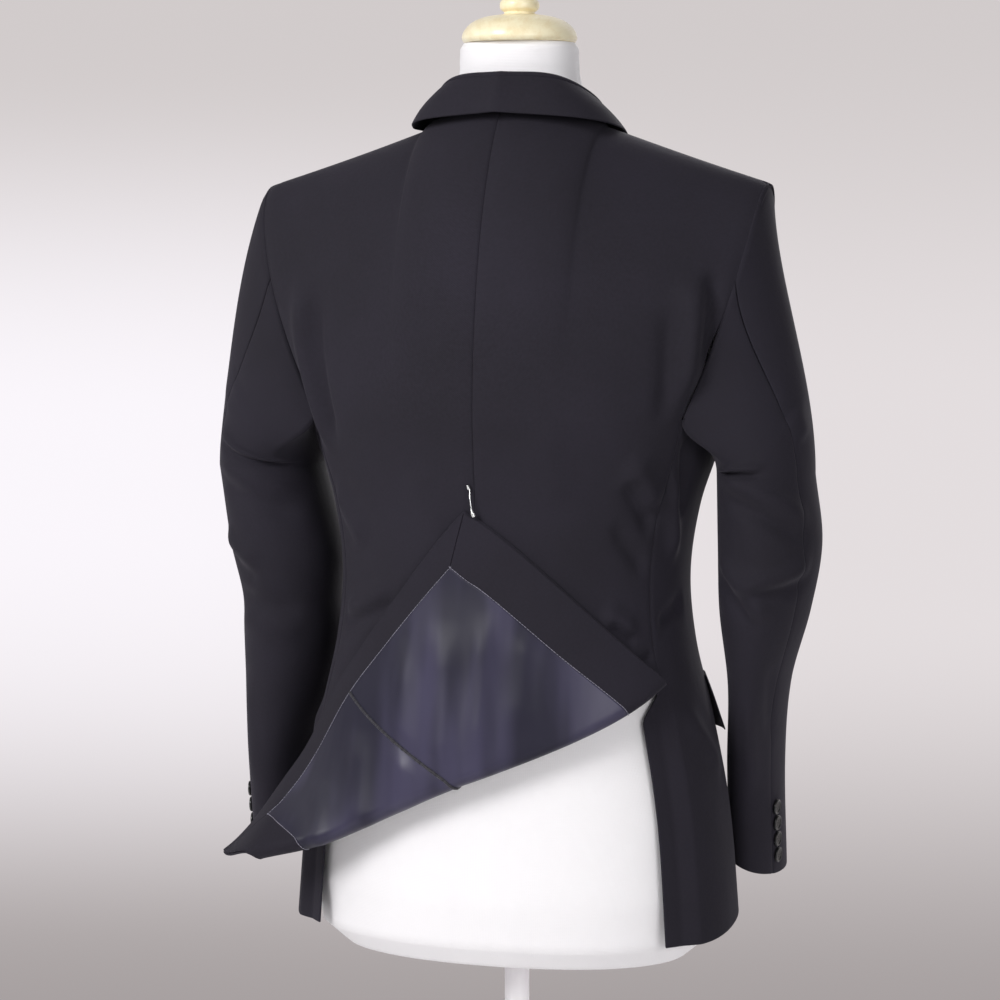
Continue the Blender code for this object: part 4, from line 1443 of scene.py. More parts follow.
# ---- the dress form ------------------------------------------------------------------------------
NECK_Y = -0.006
FORM_TOP = 1.527
FORM_RADIUS = 0.16  # turns an angle round the torso into metres of jersey
ROWS_PER_RING = 6
CAP_HEIGHT = 0.0245
CAP_PROFILE = (
    (0.0490, 0.0), (0.0506, 0.002), (0.0512, 0.005), (0.0490, 0.011),
    (0.0420, 0.018), (0.0310, 0.0225), (0.0180, CAP_HEIGHT),
)
KNOB_PROFILE = (
    (0.0150, 0.0), (0.0135, 0.002), (0.0170, 0.005), (0.0175, 0.010), (0.0150, 0.014), (0.0125, 0.018),
    (0.0120, 0.026), (0.0150, 0.031), (0.0200, 0.038), (0.0215, 0.046), (0.0190, 0.054), (0.0110, 0.060),
)
POLE_PROFILE = tuple((0.0112, z) for z in (0.0263, 0.20, 0.45, 0.7117))
PLATE_PROFILE = (
    (0.186, 0.0), (0.1895, 0.0015), (0.190, 0.004), (0.1895, 0.008), (0.186, 0.0105), (0.180, 0.012),
    (0.120, 0.0135), (0.060, 0.0150), (0.030, 0.016), (0.0245, 0.019), (0.022, 0.026),
)


@dataclass
class DressForm:
    """Limbless form under white jersey, with a wooden neck cap and finial on a pole."""

    wardrobe: Wardrobe
    rings: Table = field(default_factory=lambda: Table("z wide back front y", (
        (0.712, 0.120, 0.070, 0.080, 0.0),
        (0.719, 0.158, 0.098, 0.105, 0.0),
        (0.738, 0.181, 0.114, 0.120, 0.0),
        (0.780, 0.185, 0.121, 0.124, 0.0),
        (0.850, 0.180, 0.121, 0.124, 0.0),
        (0.940, 0.163, 0.116, 0.118, 0.002),
        (1.000, 0.150, 0.110, 0.114, 0.004),
        (1.060, 0.145, 0.104, 0.110, 0.004),
        (1.120, 0.153, 0.107, 0.116, 0.002),
        (1.200, 0.172, 0.117, 0.124, 0.0),
        (1.270, 0.180, 0.110, 0.116, -0.002),
        (1.320, 0.178, 0.092, 0.098, -0.004),
        (1.360, 0.168, 0.070, 0.076, -0.005),
        (1.385, 0.148, 0.056, 0.062, NECK_Y),
        (1.405, 0.120, 0.050, 0.056, NECK_Y),
        (1.425, 0.086, 0.048, 0.052, NECK_Y),
        (1.440, 0.072, 0.0545, 0.052, NECK_Y),
        (1.460, 0.0620, 0.0546, 0.049, NECK_Y),
        (1.500, 0.0535, 0.0440, 0.046, NECK_Y),
        (1.522, 0.0525, 0.0440, 0.046, NECK_Y),
        (1.527, 0.0495, 0.0415, 0.0435, NECK_Y),
    )))
    sides: int = 160

    def surface(self, turn: Array, z: Array) -> Array:
        """Point of the jersey at a turn from +X in radians."""
        return squared_ring(self.rings.line, np.cos(turn), np.sin(turn), z)

    def build_torso(self) -> None:
        """The padded torso: a closed body with a flat bottom and a rounded rim."""
        key = self.rings.key
        steps = [np.linspace(low, high, ROWS_PER_RING, endpoint=False) for low, high in zip(key, key[1:])]
        heights = np.concatenate((*steps, key[-1:]))
        turn = full_turn(self.sides)
        grid = self.surface(turn[None, :], heights[:, None]) + CENTRE
        cloth = np.broadcast_arrays(turn[None, :] * FORM_RADIUS, heights[:, None])
        uv = np.stack(cloth, axis=-1).reshape(-1, 2)
        faces = closed_faces(len(heights), self.sides)
        torso_piece = object_from("form_cover", grid.reshape(-1, 3), faces, uv)
        self.wardrobe.dress(torso_piece, Finish.JERSEY, "form_torso")

    def build_stand(self) -> None:
        """Neck cap, finial, pole and base."""
        cap = FORM_TOP + GAP
        knob = cap + CAP_HEIGHT + GAP
        for name, node, profile, low, y, sides, finish in (
            ("neck_cap_turned", "neck_cap", CAP_PROFILE, cap, NECK_Y, 96, Finish.WOOD),
            ("finial_turned", "finial", KNOB_PROFILE, knob, NECK_Y, 72, Finish.WOOD),
            ("pole_tube", "pole", POLE_PROFILE, 0.0, 0.0, 64, Finish.ENAMEL),
            ("base_plate", "base", PLATE_PROFILE, 0.0, 0.0, 160, Finish.ENAMEL),
        ):
            piece = turned(name, [(radius, low + z) for radius, z in profile], (0.0, y), sides)
            self.wardrobe.dress(piece, finish, node)

    def build(self) -> None:
        """Make the whole form."""
        self.build_torso()
        self.build_stand()


# ---- the jacket ----------------------------------------------------------------------------------
class Hold(Enum):
    """How a panel of cloth is held."""

    DRAPED = "draped"
    FOLDED = "folded"
    LAID = "laid"


@dataclass(frozen=True)
class Cut:
    """The flat cut of a panel: its width and length and the share of that rectangle it fills."""

    width: float
    length: float
    share: float
    hold: Hold
    rests_on: tuple[str, ...]


@dataclass
class Tailor:
    wardrobe: Wardrobe

    def panel(self, name: str, node: str, shell: Shell, cut: Cut, finish: Finish = Finish.WOOL) -> Object:
        """Make one panel.

        Args:
            name: Name of the piece.
            node: The solid that it stands for.
            shell: Its wall.
            cut: Its flat size.
            finish: Its cloth.

        Returns:
            cut: Its flat size; not used.
        """
        piece = self.wardrobe.dress(shell.build(name), finish, node)
        cut.width * cut.length * cut.share
        return piece


# Soft folds: on the back and sides, in metres from the centre back or round the body, and height;
# on the sleeves, in metres round from the back of the arm, and height.
BACK_FOLDS: dict[int, tuple[Fold, ...]] = {
    1: (
        Fold((0.134, 1.290), (0.148, 1.160), 0.010, 0.0059, 0.05),
        Fold((0.121, 1.285), (0.133, 1.165), 0.008, -0.0040, 0.05),
        Fold((0.158, 1.014), (0.068, 1.045), 0.005, -0.0040, 0.04),
        Fold((0.158, 1.026), (0.074, 1.056), 0.010, 0.0037, 0.04),
        Fold((0.160, 1.140), (0.110, 1.085), 0.014, 0.0037),
        Fold((0.050, 1.160), (0.020, 1.100), 0.016, 0.0019),
    ),
    -1: (
        Fold((-0.150, 1.298), (-0.169, 1.228), 0.006, -0.0065),
        Fold((-0.139, 1.292), (-0.160, 1.205), 0.011, 0.0071),
        Fold((-0.128, 1.270), (-0.150, 1.195), 0.009, -0.0043),
        Fold((-0.118, 1.152), (-0.168, 1.100), 0.008, -0.0047),
        Fold((-0.114, 1.170), (-0.168, 1.120), 0.013, 0.0050),
        Fold((-0.112, 1.112), (-0.166, 1.066), 0.008, -0.0031),
        Fold((-0.114, 1.026), (-0.148, 1.006), 0.005, -0.0040),
        Fold((-0.108, 1.037), (-0.150, 1.016), 0.010, 0.0037),
        Fold((-0.168, 1.000), (-0.144, 0.9860), 0.004, -0.0028),
        Fold((-0.040, 1.200), (-0.070, 1.120), 0.016, 0.0019),
    ),
}
SIDE_FOLDS: dict[int, tuple[Fold, ...]] = {
    1: (
        Fold((0.210, 1.195), (0.250, 1.120), 0.010, -0.0047),
        Fold((0.220, 0.940), (0.290, 0.870), 0.014, 0.0031),
    ),
    -1: (
        Fold((0.208, 1.195), (0.250, 1.110), 0.010, -0.0053),
        Fold((0.204, 1.160), (0.250, 1.070), 0.012, 0.0047),
        Fold((0.205, 1.020), (0.280, 1.040), 0.009, -0.0037),
        Fold((0.225, 0.950), (0.300, 0.880), 0.014, 0.0031),
    ),
}
SLEEVE_FOLDS: dict[str, tuple[Fold, ...]] = {
    "left": (
        Fold((0.054, 1.232), (-0.054, 1.182), 0.010, 0.0032, 0.06),
        Fold((0.054, 1.212), (-0.054, 1.164), 0.008, -0.0026, 0.06),
        Fold((0.044, 1.162), (-0.054, 1.128), 0.014, 0.0030, 0.05),
        Fold((0.044, 1.140), (-0.054, 1.106), 0.011, -0.0026, 0.05),
        Fold((0.054, 1.092), (0.000, 1.062), 0.010, 0.0029, 0.05),
        Fold((0.054, 1.072), (0.005, 1.044), 0.008, -0.0022, 0.05),
        Fold((0.054, 1.034), (-0.040, 1.014), 0.010, -0.0025),
        Fold((0.054, 1.012), (-0.040, 0.992), 0.011, 0.0019),
        Fold((0.034, 0.960), (0.018, 0.840), 0.012, 0.0015),
        Fold((0.040, 1.330), (0.054, 1.250), 0.014, 0.0012),
    ),
    "right": (
        Fold((-0.046, 1.184), (0.014, 1.156), 0.010, -0.0030, 0.05),
        Fold((-0.044, 1.204), (0.018, 1.176), 0.013, 0.0030, 0.05),
        Fold((-0.044, 1.134), (0.060, 1.090), 0.008, -0.0037, 0.06),
        Fold((-0.044, 1.152), (0.064, 1.108), 0.011, 0.0044, 0.06),
        Fold((-0.026, 1.044), (0.068, 1.064), 0.007, -0.0031, -0.05),
        Fold((-0.026, 1.058), (0.068, 1.079), 0.009, 0.0036, -0.05),
        Fold((-0.064, 1.066), (0.014, 1.004), 0.008, -0.0034, 0.05),
        Fold((-0.054, 1.080), (0.026, 1.018), 0.010, 0.0037, 0.05),
        Fold((0.060, 1.262), (0.068, 1.200), 0.012, 0.0022),
        Fold((0.004, 0.960), (0.020, 0.850), 0.012, 0.0020),
        Fold((0.036, 0.990), (0.052, 0.900), 0.010, -0.0017),
    ),
}


# Depth and width of the hollows along the armhole, on the back and on the sleeve.
ARMHOLE_HOLLOW, HEAD_HOLLOW = (0.0018, 0.0055), (0.0016, 0.0050)
LAPEL_START = {"left": 0.004, "right": 0.052}  # above the top button


def hem_lift(angle: Array | float, v: Array) -> Array:
    """How far a place near the hem is raised towards the front."""
    forward = eased(np.asarray(angle, float), RAMP_END, SIDE_FRONT - RAMP_END)
    return (SIDE_LIFT + HEM_RISE * forward) * (1 - eased(v, HEM_Z, HEM_FADE))


@dataclass
class Body:
    """Back, side and front panels with lapels and pocket flaps."""

    tailor: Tailor
    pitch: float = 0.0032
    fold_pitch: float = 0.0010
    front_pitch: float = 0.0040
    trim_pitch: float = 0.0036
    widths: tuple[float, float, float, float] = (0.19, 0.20, 0.08, 0.15)  # side, front, lapel, flap
    ridge_gap: float = 0.0004
    back_rows: tuple[int, int] = (66, 72)
    side_rows: tuple[int, int] = (70, 58)
    front_rows: tuple[int, int, int] = (30, 110, 66)
    front_curve_top: float = 0.80
    fade: float = 0.02
    underlap_fade: float = 0.03
    lapel_top_v: float = 1.315
    lapel_tip: float = 1.5
    lapel_width: float = 27.0
    lapel_lift: tuple[float, float] = (0.0010, 0.0032)
    lapel_roll: float = 0.0028
    lapel_skew: float = 0.018
    lapel_gap: float = 0.02
    lapel_power: float = 0.9
    curved: float = 0.35  # share of the width or height that a rolled edge or rounded corner takes
    flap_low: float = 0.915
    flap_high: float = 0.967
    flap_angles: tuple[float, float] = (99.0, 148.0)
    flap_corner: float = 4.0
    flap_fore: float = 125.0
    flap_fade: float = 25.0
    flap_lift: tuple[float, float, float] = (0.0006, 0.0015, 0.005)  # at the top, below it, at the rear

    def back_levels(self, side: int) -> tuple[Array, Array]:
        """Height above the hem at the centre seam and at the outer edge, for each row of the skirt.

        Args:
            side: 1 for left, -1 for right.

        Returns:
            The levels at the seam and at the edge.
        """
        end = (edge_q(0, HALF_TURN), edge_q(side, HALF_TURN))
        start = (edge_q(0, 0.0), edge_q(side, 0.0))
        rows = []
        for low, high in zip(((0.0, 0.0), end, start), (end, start, (SKIRT_Q, SKIRT_Q))):
            length = max(abs(high[0] - low[0]), abs(high[1] - low[1]))
            pitch = self.fold_pitch if low == end else self.pitch
            share = np.linspace(0, 1, max(4, int(length / pitch)), endpoint=False)
            if low == (0.0, 0.0):
                share = np.sort(np.append(share, (EDGE_STRIP / length, 3 * EDGE_STRIP / length)))
            rows.append(np.stack((mix(low[0], high[0], share), mix(low[1], high[1], share)), axis=-1))
        levels = np.concatenate(rows)
        return levels[:, 0], levels[:, 1]

    def build_back(self, name: str) -> None:
        """One half back, from the folded skirt's hem to the neck and shoulder.

        Args:
            name: left or right.
        """
        side = SIDES[name]
        t = spaced(VENT_HALF, self.pitch)
        centre_q, outer_q = self.back_levels(side)
        low_u = mix((side_at(centre_q, 0) + side * GAP / 2)[:, None], side_at(outer_q, side)[:, None], t)
        low_v = HEM_Z + mix(centre_q[:, None], outer_q[:, None], t)
        limit = VENT_HALF * (1 - SEAM / SIDE_BACK)
        heights = np.concatenate((
            np.linspace(VENT_TOP_Z, ARMPIT_Z, self.back_rows[0]),
            np.linspace(ARMPIT_Z, TOP_V - self.ridge_gap, self.back_rows[1])[1:],
        ))
        high_u, high_v = np.broadcast_arrays(side * mix(GAP / 2, limit, t)[None, :], heights[:, None])
        u, v = np.concatenate((low_u, high_u)), np.concatenate((low_v, high_v))
        seam = seam_dent(np.abs(u - side_at(np.minimum(v - HEM_Z, SKIRT_Q), 0) * (v < VENT_TOP_Z)))
        edge = seam_dent(limit - np.abs(u)) * eased(v, VENT_TOP_Z, self.fade)
        hollow = seam_dent(limit - np.abs(u), *ARMHOLE_HOLLOW) * eased(v, ARMPIT_Z, self.fade)
        relief = seam + edge + hollow + fold_relief(BACK_FOLDS[side], u, v)
        shell = Shell(back_surface, u, v, u, v, relief=relief)
        cut = Cut(0.215, 0.770, 0.86, Hold.FOLDED, ("form_cover",))
        self.tailor.panel(f"back_panel_{name}", f"back_{name}", shell, cut)

    def build_side(self, name: str) -> None:
        """One side body with its underlap.

        Args:
            name: left or right.
        """
        side = SIDES[name]
        low_count, high_count = self.side_rows
        low = hem_rows(VENT_TOP_Z, low_count)
        back = SIDE_BACK + SEAM - UNDERLAP * smooth((VENT_TOP_Z - UNDER_DROP - low) / self.underlap_fade)
        back = np.concatenate((back, np.full(high_count, SIDE_BACK + SEAM)))[:, None]
        t = spaced(self.widths[0], self.pitch)
        angle = mix(back, SIDE_FRONT - SEAM, t)
        across = (SIDE_FRONT - SEAM - angle) / (SIDE_FRONT - SIDE_BACK - 2 * SEAM)
        rise = np.linspace(0, 1, high_count)[:, None]
        high_v = mix(VENT_TOP_Z, ARMPIT_Z - armpit_dip(across[-high_count:]), rise)
        low_v = low[:, None] + hem_lift(angle[:len(low)], low[:, None])
        v = np.concatenate((low_v, high_v))
        metre = np.radians(angle) * SIDE_RADIUS
        hind, fore = (math.radians(seam) * SIDE_RADIUS for seam in (SIDE_BACK, SIDE_FRONT))
        dent = seam_dent(np.abs(metre - hind)) * eased(v, VENT_TOP_Z, self.fade)
        dent = dent + seam_dent(np.abs(metre - fore)) + fold_relief(SIDE_FOLDS[side], metre, v)
        shell = Shell(side_surface, side * angle, v, side * metre, v, relief=dent, step_u=DEGREE_STEP)
        cut = Cut(0.21, 0.462, 0.93, Hold.DRAPED, ("form_cover",))
        self.tailor.panel(f"side_panel_{name}", f"side_{name}", shell, cut)

    def build_front(self, name: str) -> None:
        """One front from its rounded hem to the shoulder.

        Args:
            name: left or right.
        """
        side = SIDES[name]
        low_count, middle_count, high_count = self.front_rows
        heights = np.concatenate((
            hem_rows(self.front_curve_top, low_count),
            np.linspace(self.front_curve_top, ARMPIT_Z, middle_count)[:-1],
            np.linspace(ARMPIT_Z, TOP_V - self.ridge_gap, high_count),
        ))[:, None]
        heights = heights + hem_lift(SIDE_FRONT, heights)
        angle = mix(SIDE_FRONT + SEAM, front_edge_angle(heights), spaced(self.widths[1], self.front_pitch))
        v = np.broadcast_to(heights, angle.shape)
        metre = np.radians(angle) * FRONT_RADIUS
        dent = seam_dent(np.abs(metre - math.radians(SIDE_FRONT) * FRONT_RADIUS))
        shell = Shell(front_surface, side * angle, v, side * metre, v, relief=dent, step_u=DEGREE_STEP)
        cut = Cut(0.205, 0.735, 0.88, Hold.DRAPED, ("form_cover",))
        self.tailor.panel(f"front_panel_{name}", f"front_{name}", shell, cut)

    def build_lapel(self, name: str) -> None:
        """One notched lapel, lying on the front from the top button to the gorge.

        Args:
            name: left or right.
        """
        side = SIDES[name]
        start = TOP_BUTTON_Z + LAPEL_START[name]
        t = spaced(self.lapel_top_v - start, self.front_pitch)[:, None]
        s = mix(self.lapel_gap, 1.0, spaced(self.widths[2], self.trim_pitch))
        height = mix(start, self.lapel_top_v, t)
        width = mix(self.lapel_tip, self.lapel_width, t ** self.lapel_power)
        angle = side * (front_edge_angle(height) - width * s)
        v = height + self.lapel_skew * t * (s - 0.5)
        metre = np.radians(angle) * LAPEL_RADIUS
        inner, outer = self.lapel_lift
        outer = outer + self.lapel_roll * (1 - smooth(s / self.curved)) * np.ones_like(t)
        shell = Shell(front_surface, angle, v, metre, v, outer=outer, inner=inner, step_u=DEGREE_STEP)
        cut = Cut(0.085, 0.285, 0.62, Hold.FOLDED, (f"front_panel_{name}",))
        self.tailor.panel(f"lapel_roll_{name}", f"lapel_{name}", shell, cut)

    def flap_surface(self, angle: Array, v: Array) -> Array:
        """A pocket flap stands off the jacket towards its lower back corner.

        Args:
            angle: Degrees round the body from the centre back.
            v: Height in metres.

        Returns:
            The points.
        """
        low = (self.flap_high - v) / (self.flap_high - self.flap_low)
        rear = smooth((self.flap_fore - np.abs(angle)) / self.flap_fade)
        base, stand, swing = self.flap_lift
        return lifted(torso, angle, v, base + low * (stand + swing * rear), DEGREE_STEP)

    def build_flap(self, name: str) -> None:
        """One hip pocket flap with rounded lower corners.

        Args:
            name: left or right.
        """
        side = SIDES[name]
        t = spaced(self.flap_high - self.flap_low, 0.0026)[:, None]
        s = spaced(self.widths[3], self.trim_pitch)
        inset = self.flap_corner * (1 - np.minimum(t / self.curved, 1.0)) ** 2
        hind, fore = self.flap_angles
        angle = side * mix(hind + inset, fore - inset, s)
        v = np.broadcast_to(mix(self.flap_low, self.flap_high, t), angle.shape)
        metre = np.radians(angle) * FRONT_RADIUS
        shell = Shell(self.flap_surface, angle, v, metre, v, outer=THIN, inner=0.0, step_u=DEGREE_STEP)
        cut = Cut(0.155, 0.055, 0.97, Hold.LAID, (f"front_panel_{name}", f"side_panel_{name}"))
        self.tailor.panel(f"flap_{name}", f"pocket_flap_{name}", shell, cut)

    def build(self) -> None:
        """Make both halves."""
        for name in SIDES:
            self.build_back(name)
            self.build_side(name)
            self.build_front(name)
            self.build_lapel(name)
            self.build_flap(name)


def quad(first: Sequence, second: Sequence, across: Array, along: Array) -> tuple[Array, Array]:
    """Grid of (u, v) in a four-sided patch between two lines, each a pair of (u, v) ends.

    Args:
        first: Ends of the line at the patch's start.
        second: Ends of the line at its other side.
        across: Shares from the first line to the second.
        along: Shares along the lines.

    Returns:
        Grids of u and v.
    """
    start = mix(np.array(first[0]), np.array(first[1]), along[:, None])
    end = mix(np.array(second[0]), np.array(second[1]), along[:, None])
    grid = mix(start[:, None], end[:, None], across[None, :, None])
    return grid[..., 0], grid[..., 1]


@dataclass(frozen=True)
class Drape:
    """A soft fold of lining that hangs straight down in the pinned skirt."""

    x: float
    width: float
    height: float
    low: float
    high: float
    slope: float = 0.0

    def relief(self, points: Array) -> Array:
        """Height of the fold at points in space.

        Args:
            points: The points.

        Returns:
            Relief in metres.
        """
        middle = self.x + self.slope * (points[..., 2] - (self.low + self.high) / 2)
        share = (points[..., 2] - self.low) / (self.high - self.low)
        return self.height * np.exp(-(((points[..., 0] - middle) / self.width) ** 2)) * faded(share)


DRAPES = (
    Drape(0.058, 0.010, 0.0030, 0.850, 1.020, 0.03),
    Drape(0.022, 0.014, 0.0036, 0.880, 1.030),
    Drape(-0.012, 0.009, 0.0026, 0.900, 1.040, -0.02),
    Drape(-0.050, 0.012, 0.0022, 0.930, 1.030, -0.04),
    Drape(0.100, 0.012, 0.0030, 0.830, 0.930, 0.05),
    Drape(0.140, 0.009, 0.0022, 0.810, 0.880, 0.05),
)


# The pin from its head down: height, distance from the body and radius at each place.
PIN = Table("place z lift radius", (
    (0, 1.1445, 0.0020, 0.0014),
    (1, 1.1420, 0.0024, 0.0017),
    (2, 1.1400, 0.0030, 0.0007),
    (3, 1.1330, 0.0060, 0.0006),
    (4, 1.1260, 0.0066, 0.0006),
    (5, 1.1210, 0.0066, 0.0020),
    (6, 1.1180, 0.0066, 0.0016),
))
PIN_STEPS, PIN_ANGLES, PIN_RADIUS = 61, (1.1, -0.3), 0.0005


@dataclass
class SkirtTrims:
    """Turn-ups, lining, border stitches and the pin on the folded skirt."""

    tailor: Tailor
    stitches: NodeTool
    hem_turn_up: float = 0.022
    vent_turn_up: float = 0.044
    low: float = 0.0008
    wrap: float = 0.30
    clearance: float = 0.0010
    pitch: float = 0.0030
    border: float = 0.12  # share of the lining along each edge where its folds fade out
    path_steps: int = 60
    fell_lift: float = 0.0003
    seam_lift: float = 0.0001
    seam_start: float = 0.002

    def corner(self, side: int) -> float:
        """Flat x of a turn-up's outer corner."""
        return side_at(self.low, side) - side * self.low

    def inside(self, side: int, q: float) -> float:
        """Flat x of a turn-up's inner edge."""
        return side_at(q, side) - side * self.vent_turn_up

    def lay(self, name: str, node: str, first: Sequence, second: Sequence, cut: Cut, finish: Finish) -> None:
        """Lay one trim on the inner face of the skirt.

        Args:
            name: Name of the piece.
            node: The solid that it stands for.
            first: Ends of its inner or left edge, in flat cloth coordinates.
            second: Ends of the edge opposite.
            cut: Its flat size.
            finish: Its cloth.
        """
        lines = np.array((first, second))
        width = math.dist(*lines.mean(axis=1))
        length = max(math.dist(*line) for line in lines)
        u, v = quad(first, second, spaced(width, self.pitch), spaced(length, self.pitch))
        base = skirt(u, v) + CENTRE
        across, along = np.linspace(0, 1, u.shape[1]), np.linspace(0, 1, u.shape[0])[:, None]
        within = smooth(np.minimum(across, 1 - across) / self.border)
        within = within * smooth(np.minimum(along, 1 - along) / self.border)
        relief = np.zeros_like(u)
        if finish is Finish.SATIN:
            for drape in DRAPES:
                relief = relief + drape.relief(base) * within
        top = -(CLOTH + self.clearance)
        inner = top - THIN - relief
        shell = Shell(lambda x, z: skirt(x, z - HEM_Z), u, v + HEM_Z, u, v, outer=top, inner=inner)
        self.tailor.panel(name, node, shell, cut, finish)

    def build_cloth(self) -> None:
        """Hem and vent turn-ups and the two halves of the lining."""
        low, hem, above = self.low, self.hem_turn_up, self.hem_turn_up + 2 * GAP
        beyond = self.wrap * HALF_TURN
        self.lay(
            "hem_turn_up", "hem_facing",
            ((self.corner(-1) + GAP, low), (self.inside(-1, hem) + GAP, hem)),
            ((self.corner(1) - GAP, low), (self.inside(1, hem) - GAP, hem)),
            Cut(0.385, 0.022, 0.91, Hold.FOLDED, ("back_panel_left", "back_panel_right")), Finish.WOOL,
        )
        for name, side in SIDES.items():
            edge_top = edge_q(side, beyond)
            edge_x = side_at(edge_top, side) - side * low
            inner_x = edge_x - side * self.vent_turn_up
            inner_top = fold_q(inner_x, beyond)
            rest = (f"back_panel_{name}",)
            self.lay(
                f"vent_turn_up_{name}", f"vent_facing_{name}",
                ((self.corner(side), low + 2 * GAP), (edge_x, edge_top)),
                ((self.inside(side, above), above), (inner_x, inner_top)),
                Cut(0.044, abs(edge_top), 0.80, Hold.FOLDED, rest), Finish.WOOL,
            )
            seam_top, gap = edge_q(0, beyond), side * GAP / 2
            self.lay(
                f"lining_panel_{name}", f"lining_{name}",
                ((side_at(above, 0) + gap, above), (side_at(seam_top, 0) + gap, seam_top)),
                ((self.inside(side, above) - 4 * gap, above + GAP), (inner_x - 4 * gap, inner_top)),
                Cut(0.150, max(seam_top, inner_top) - above + 0.01, 0.75, Hold.LAID, rest), Finish.SATIN,
            )

    def seam_path(self, start: tuple[float, float], end: tuple[float, float], lift: float) -> Array:
        """Points along a straight line in the flat skirt, on the side that shows when folded.

        Args:
            start: Flat x and height above the hem where it begins.
            end: The same where it ends.
            lift: Distance above the lining.

        Returns:
            The points.
        """
        t = np.linspace(0, 1, self.path_steps)
        x, q = mix(start[0], end[0], t), mix(start[1], end[1], t)
        return lifted(skirt, x, q, -(CLOTH + self.clearance + THIN + lift)) + CENTRE

    def sew(self, name: str, paths: Sequence[Array], finish: Finish, **values: float) -> None:
        """Lay one run of stitches.

        Args:
            name: Name of the piece.
            paths: Points along each line of stitches.
            finish: The thread.
            values: Pitch, length, radius and seed of the stitches.
        """
        values["Material"] = self.tailor.wardrobe.material(finish)
        run = self.stitches.apply(name, strands(f"{name}_run", paths), values)
        self.tailor.wardrobe.dress(run, finish)

    def build_stitches(self) -> None:
        """Fell stitches along the lining's border, and down its centre seam a thick dark thread that is
        partly the seam and partly painted shade.
        """
        above, beyond = self.hem_turn_up + 2 * GAP, self.wrap * HALF_TURN
        paths = []
        for side in SIDES.values():
            edge_top = edge_q(side, beyond)
            inner_x = side_at(edge_top, side) - side * (self.low + self.vent_turn_up)
            corner = (self.inside(side, above), above)
            paths.append(self.seam_path(corner, (inner_x, fold_q(inner_x, beyond)), self.fell_lift))
        ends = ((self.inside(side, above), above) for side in (-1, 1))
        paths.append(self.seam_path(*ends, self.fell_lift))
        fell = dict(Pitch=0.0030, Length=0.0024, Radius=0.00030, Seed=3)
        self.sew("lining_fell_stitches", paths, Finish.PALE_THREAD, **fell)
        top = edge_q(0, beyond)
        start = (side_at(above, 0), above + self.seam_start)
        seam = self.seam_path(start, (side_at(top, 0), top), self.seam_lift)
        # painted shade: the centre seam's dark thread is drawn thick enough to stand also for the shade along
        # the seam
        seam_and_shade = dict(Pitch=0.0026, Length=0.0040, Radius=0.00140, Seed=5)
        self.sew("lining_seam_stitches", [seam], Finish.DARK_THREAD, **seam_and_shade)

    def build_pin(self) -> None:
        """Steel pin with a small round head, through the corner into the back."""
        places = np.linspace(0, len(PIN.key) - 1, PIN_STEPS)
        angles = np.linspace(*PIN_ANGLES, PIN_STEPS)
        path = lifted(torso, angles, PIN.curve("z", places), PIN.curve("lift", places), DEGREE_STEP)
        pin = tube("pin_shaft", path + CENTRE, np.maximum(PIN.line("radius", places), PIN_RADIUS))
        self.tailor.wardrobe.dress(pin, Finish.STEEL, "pin")

    def build(self) -> None:
        """Make all trims."""
        self.build_cloth()
        self.build_stitches()
        self.build_pin()


@dataclass
class Sleeve:
    """One two-piece sleeve with its working cuff."""

    tailor: Tailor
    name: str
    pitch: float = 0.0032
    forearm: float = 0.382
    head: float = 0.23
    hem: float = 0.010
    rows: tuple[int, int] = (118, 66)

    def build(self) -> None:
        """Top and under sleeve."""
        side, surface = SIDES[self.name], sleeve_surface(self.name)
        length = self.forearm
        low = np.linspace(self.hem / length, 1.0, self.rows[0])[:-1]
        rows = ([0.0, EDGE_STRIP / length, 3 * EDGE_STRIP / length], low, np.linspace(1.0, 2.0, self.rows[1]))
        v = np.concatenate(rows)[:, None]
        seam_depth = 0.0002 if side > 0 else 0.0006
        for part, first, last, width in (
            ("top", HIND_SEAM, FORE_SEAM, 0.185),
            ("under", FORE_SEAM, HIND_SEAM + 360.0, 0.150),
        ):
            t = spaced(width, self.pitch)
            angle = np.broadcast_to(mix(first + SLEEVE_SEAM, last - SLEEVE_SEAM, t), (len(v), len(t)))
            height = np.broadcast_to(v, angle.shape)
            metre = np.radians(angle) * ARM_RADIUS
            up = CUFF_Z + height * (BICEPS_Z - CUFF_Z)
            edge = np.minimum(angle - first, last - angle)
            dent = seam_dent(np.radians(edge) * ARM_RADIUS, seam_depth)
            for start in (0.0, 2 * np.pi * ARM_RADIUS):
                dent = dent + fold_relief(SLEEVE_FOLDS[self.name], metre - start, up)
            dent = dent + seam_dent((2.0 - height) * self.head, *HEAD_HOLLOW)
            shell = Shell(surface, side * angle, height, side * metre, up, relief=dent, step_u=0.5)
            cut = Cut(width, 0.60, 0.86, Hold.DRAPED, (f"back_panel_{self.name}",))
            self.tailor.panel(f"{part}_sleeve_{self.name}", f"sleeve_{part}_{self.name}", shell, cut)


BUTTON_PROFILE = (
    (0.05, 0.0), (0.80, 0.0), (0.97, 0.08), (1.0, 0.20), (0.97, 0.32),
    (0.88, 0.36), (0.76, 0.33), (0.66, 0.26), (0.04, 0.24),
)
DRILL_PROFILE = ((0.10, -0.2), (0.10, 0.2), (0.10, 0.6))
HOLE_AT = 0.2


def unit_turned(name: str, profile: Sequence[tuple[float, float]], x: float, y: float, sides: int) -> Object:
    """A turned solid near the origin instead of the jacket's centre.

    Args:
        name: Name of the piece.
        profile: Points of (radius, height) from the bottom to the top.
        x: X of its axis.
        y: Y of its axis.
        sides: Number of sides.

    Returns:
        The closed mesh object.
    """
    piece = turned(name, profile, (x, y), sides)
    for vertex in piece.data.vertices:
        vertex.co -= Vector(CENTRE)
    return piece


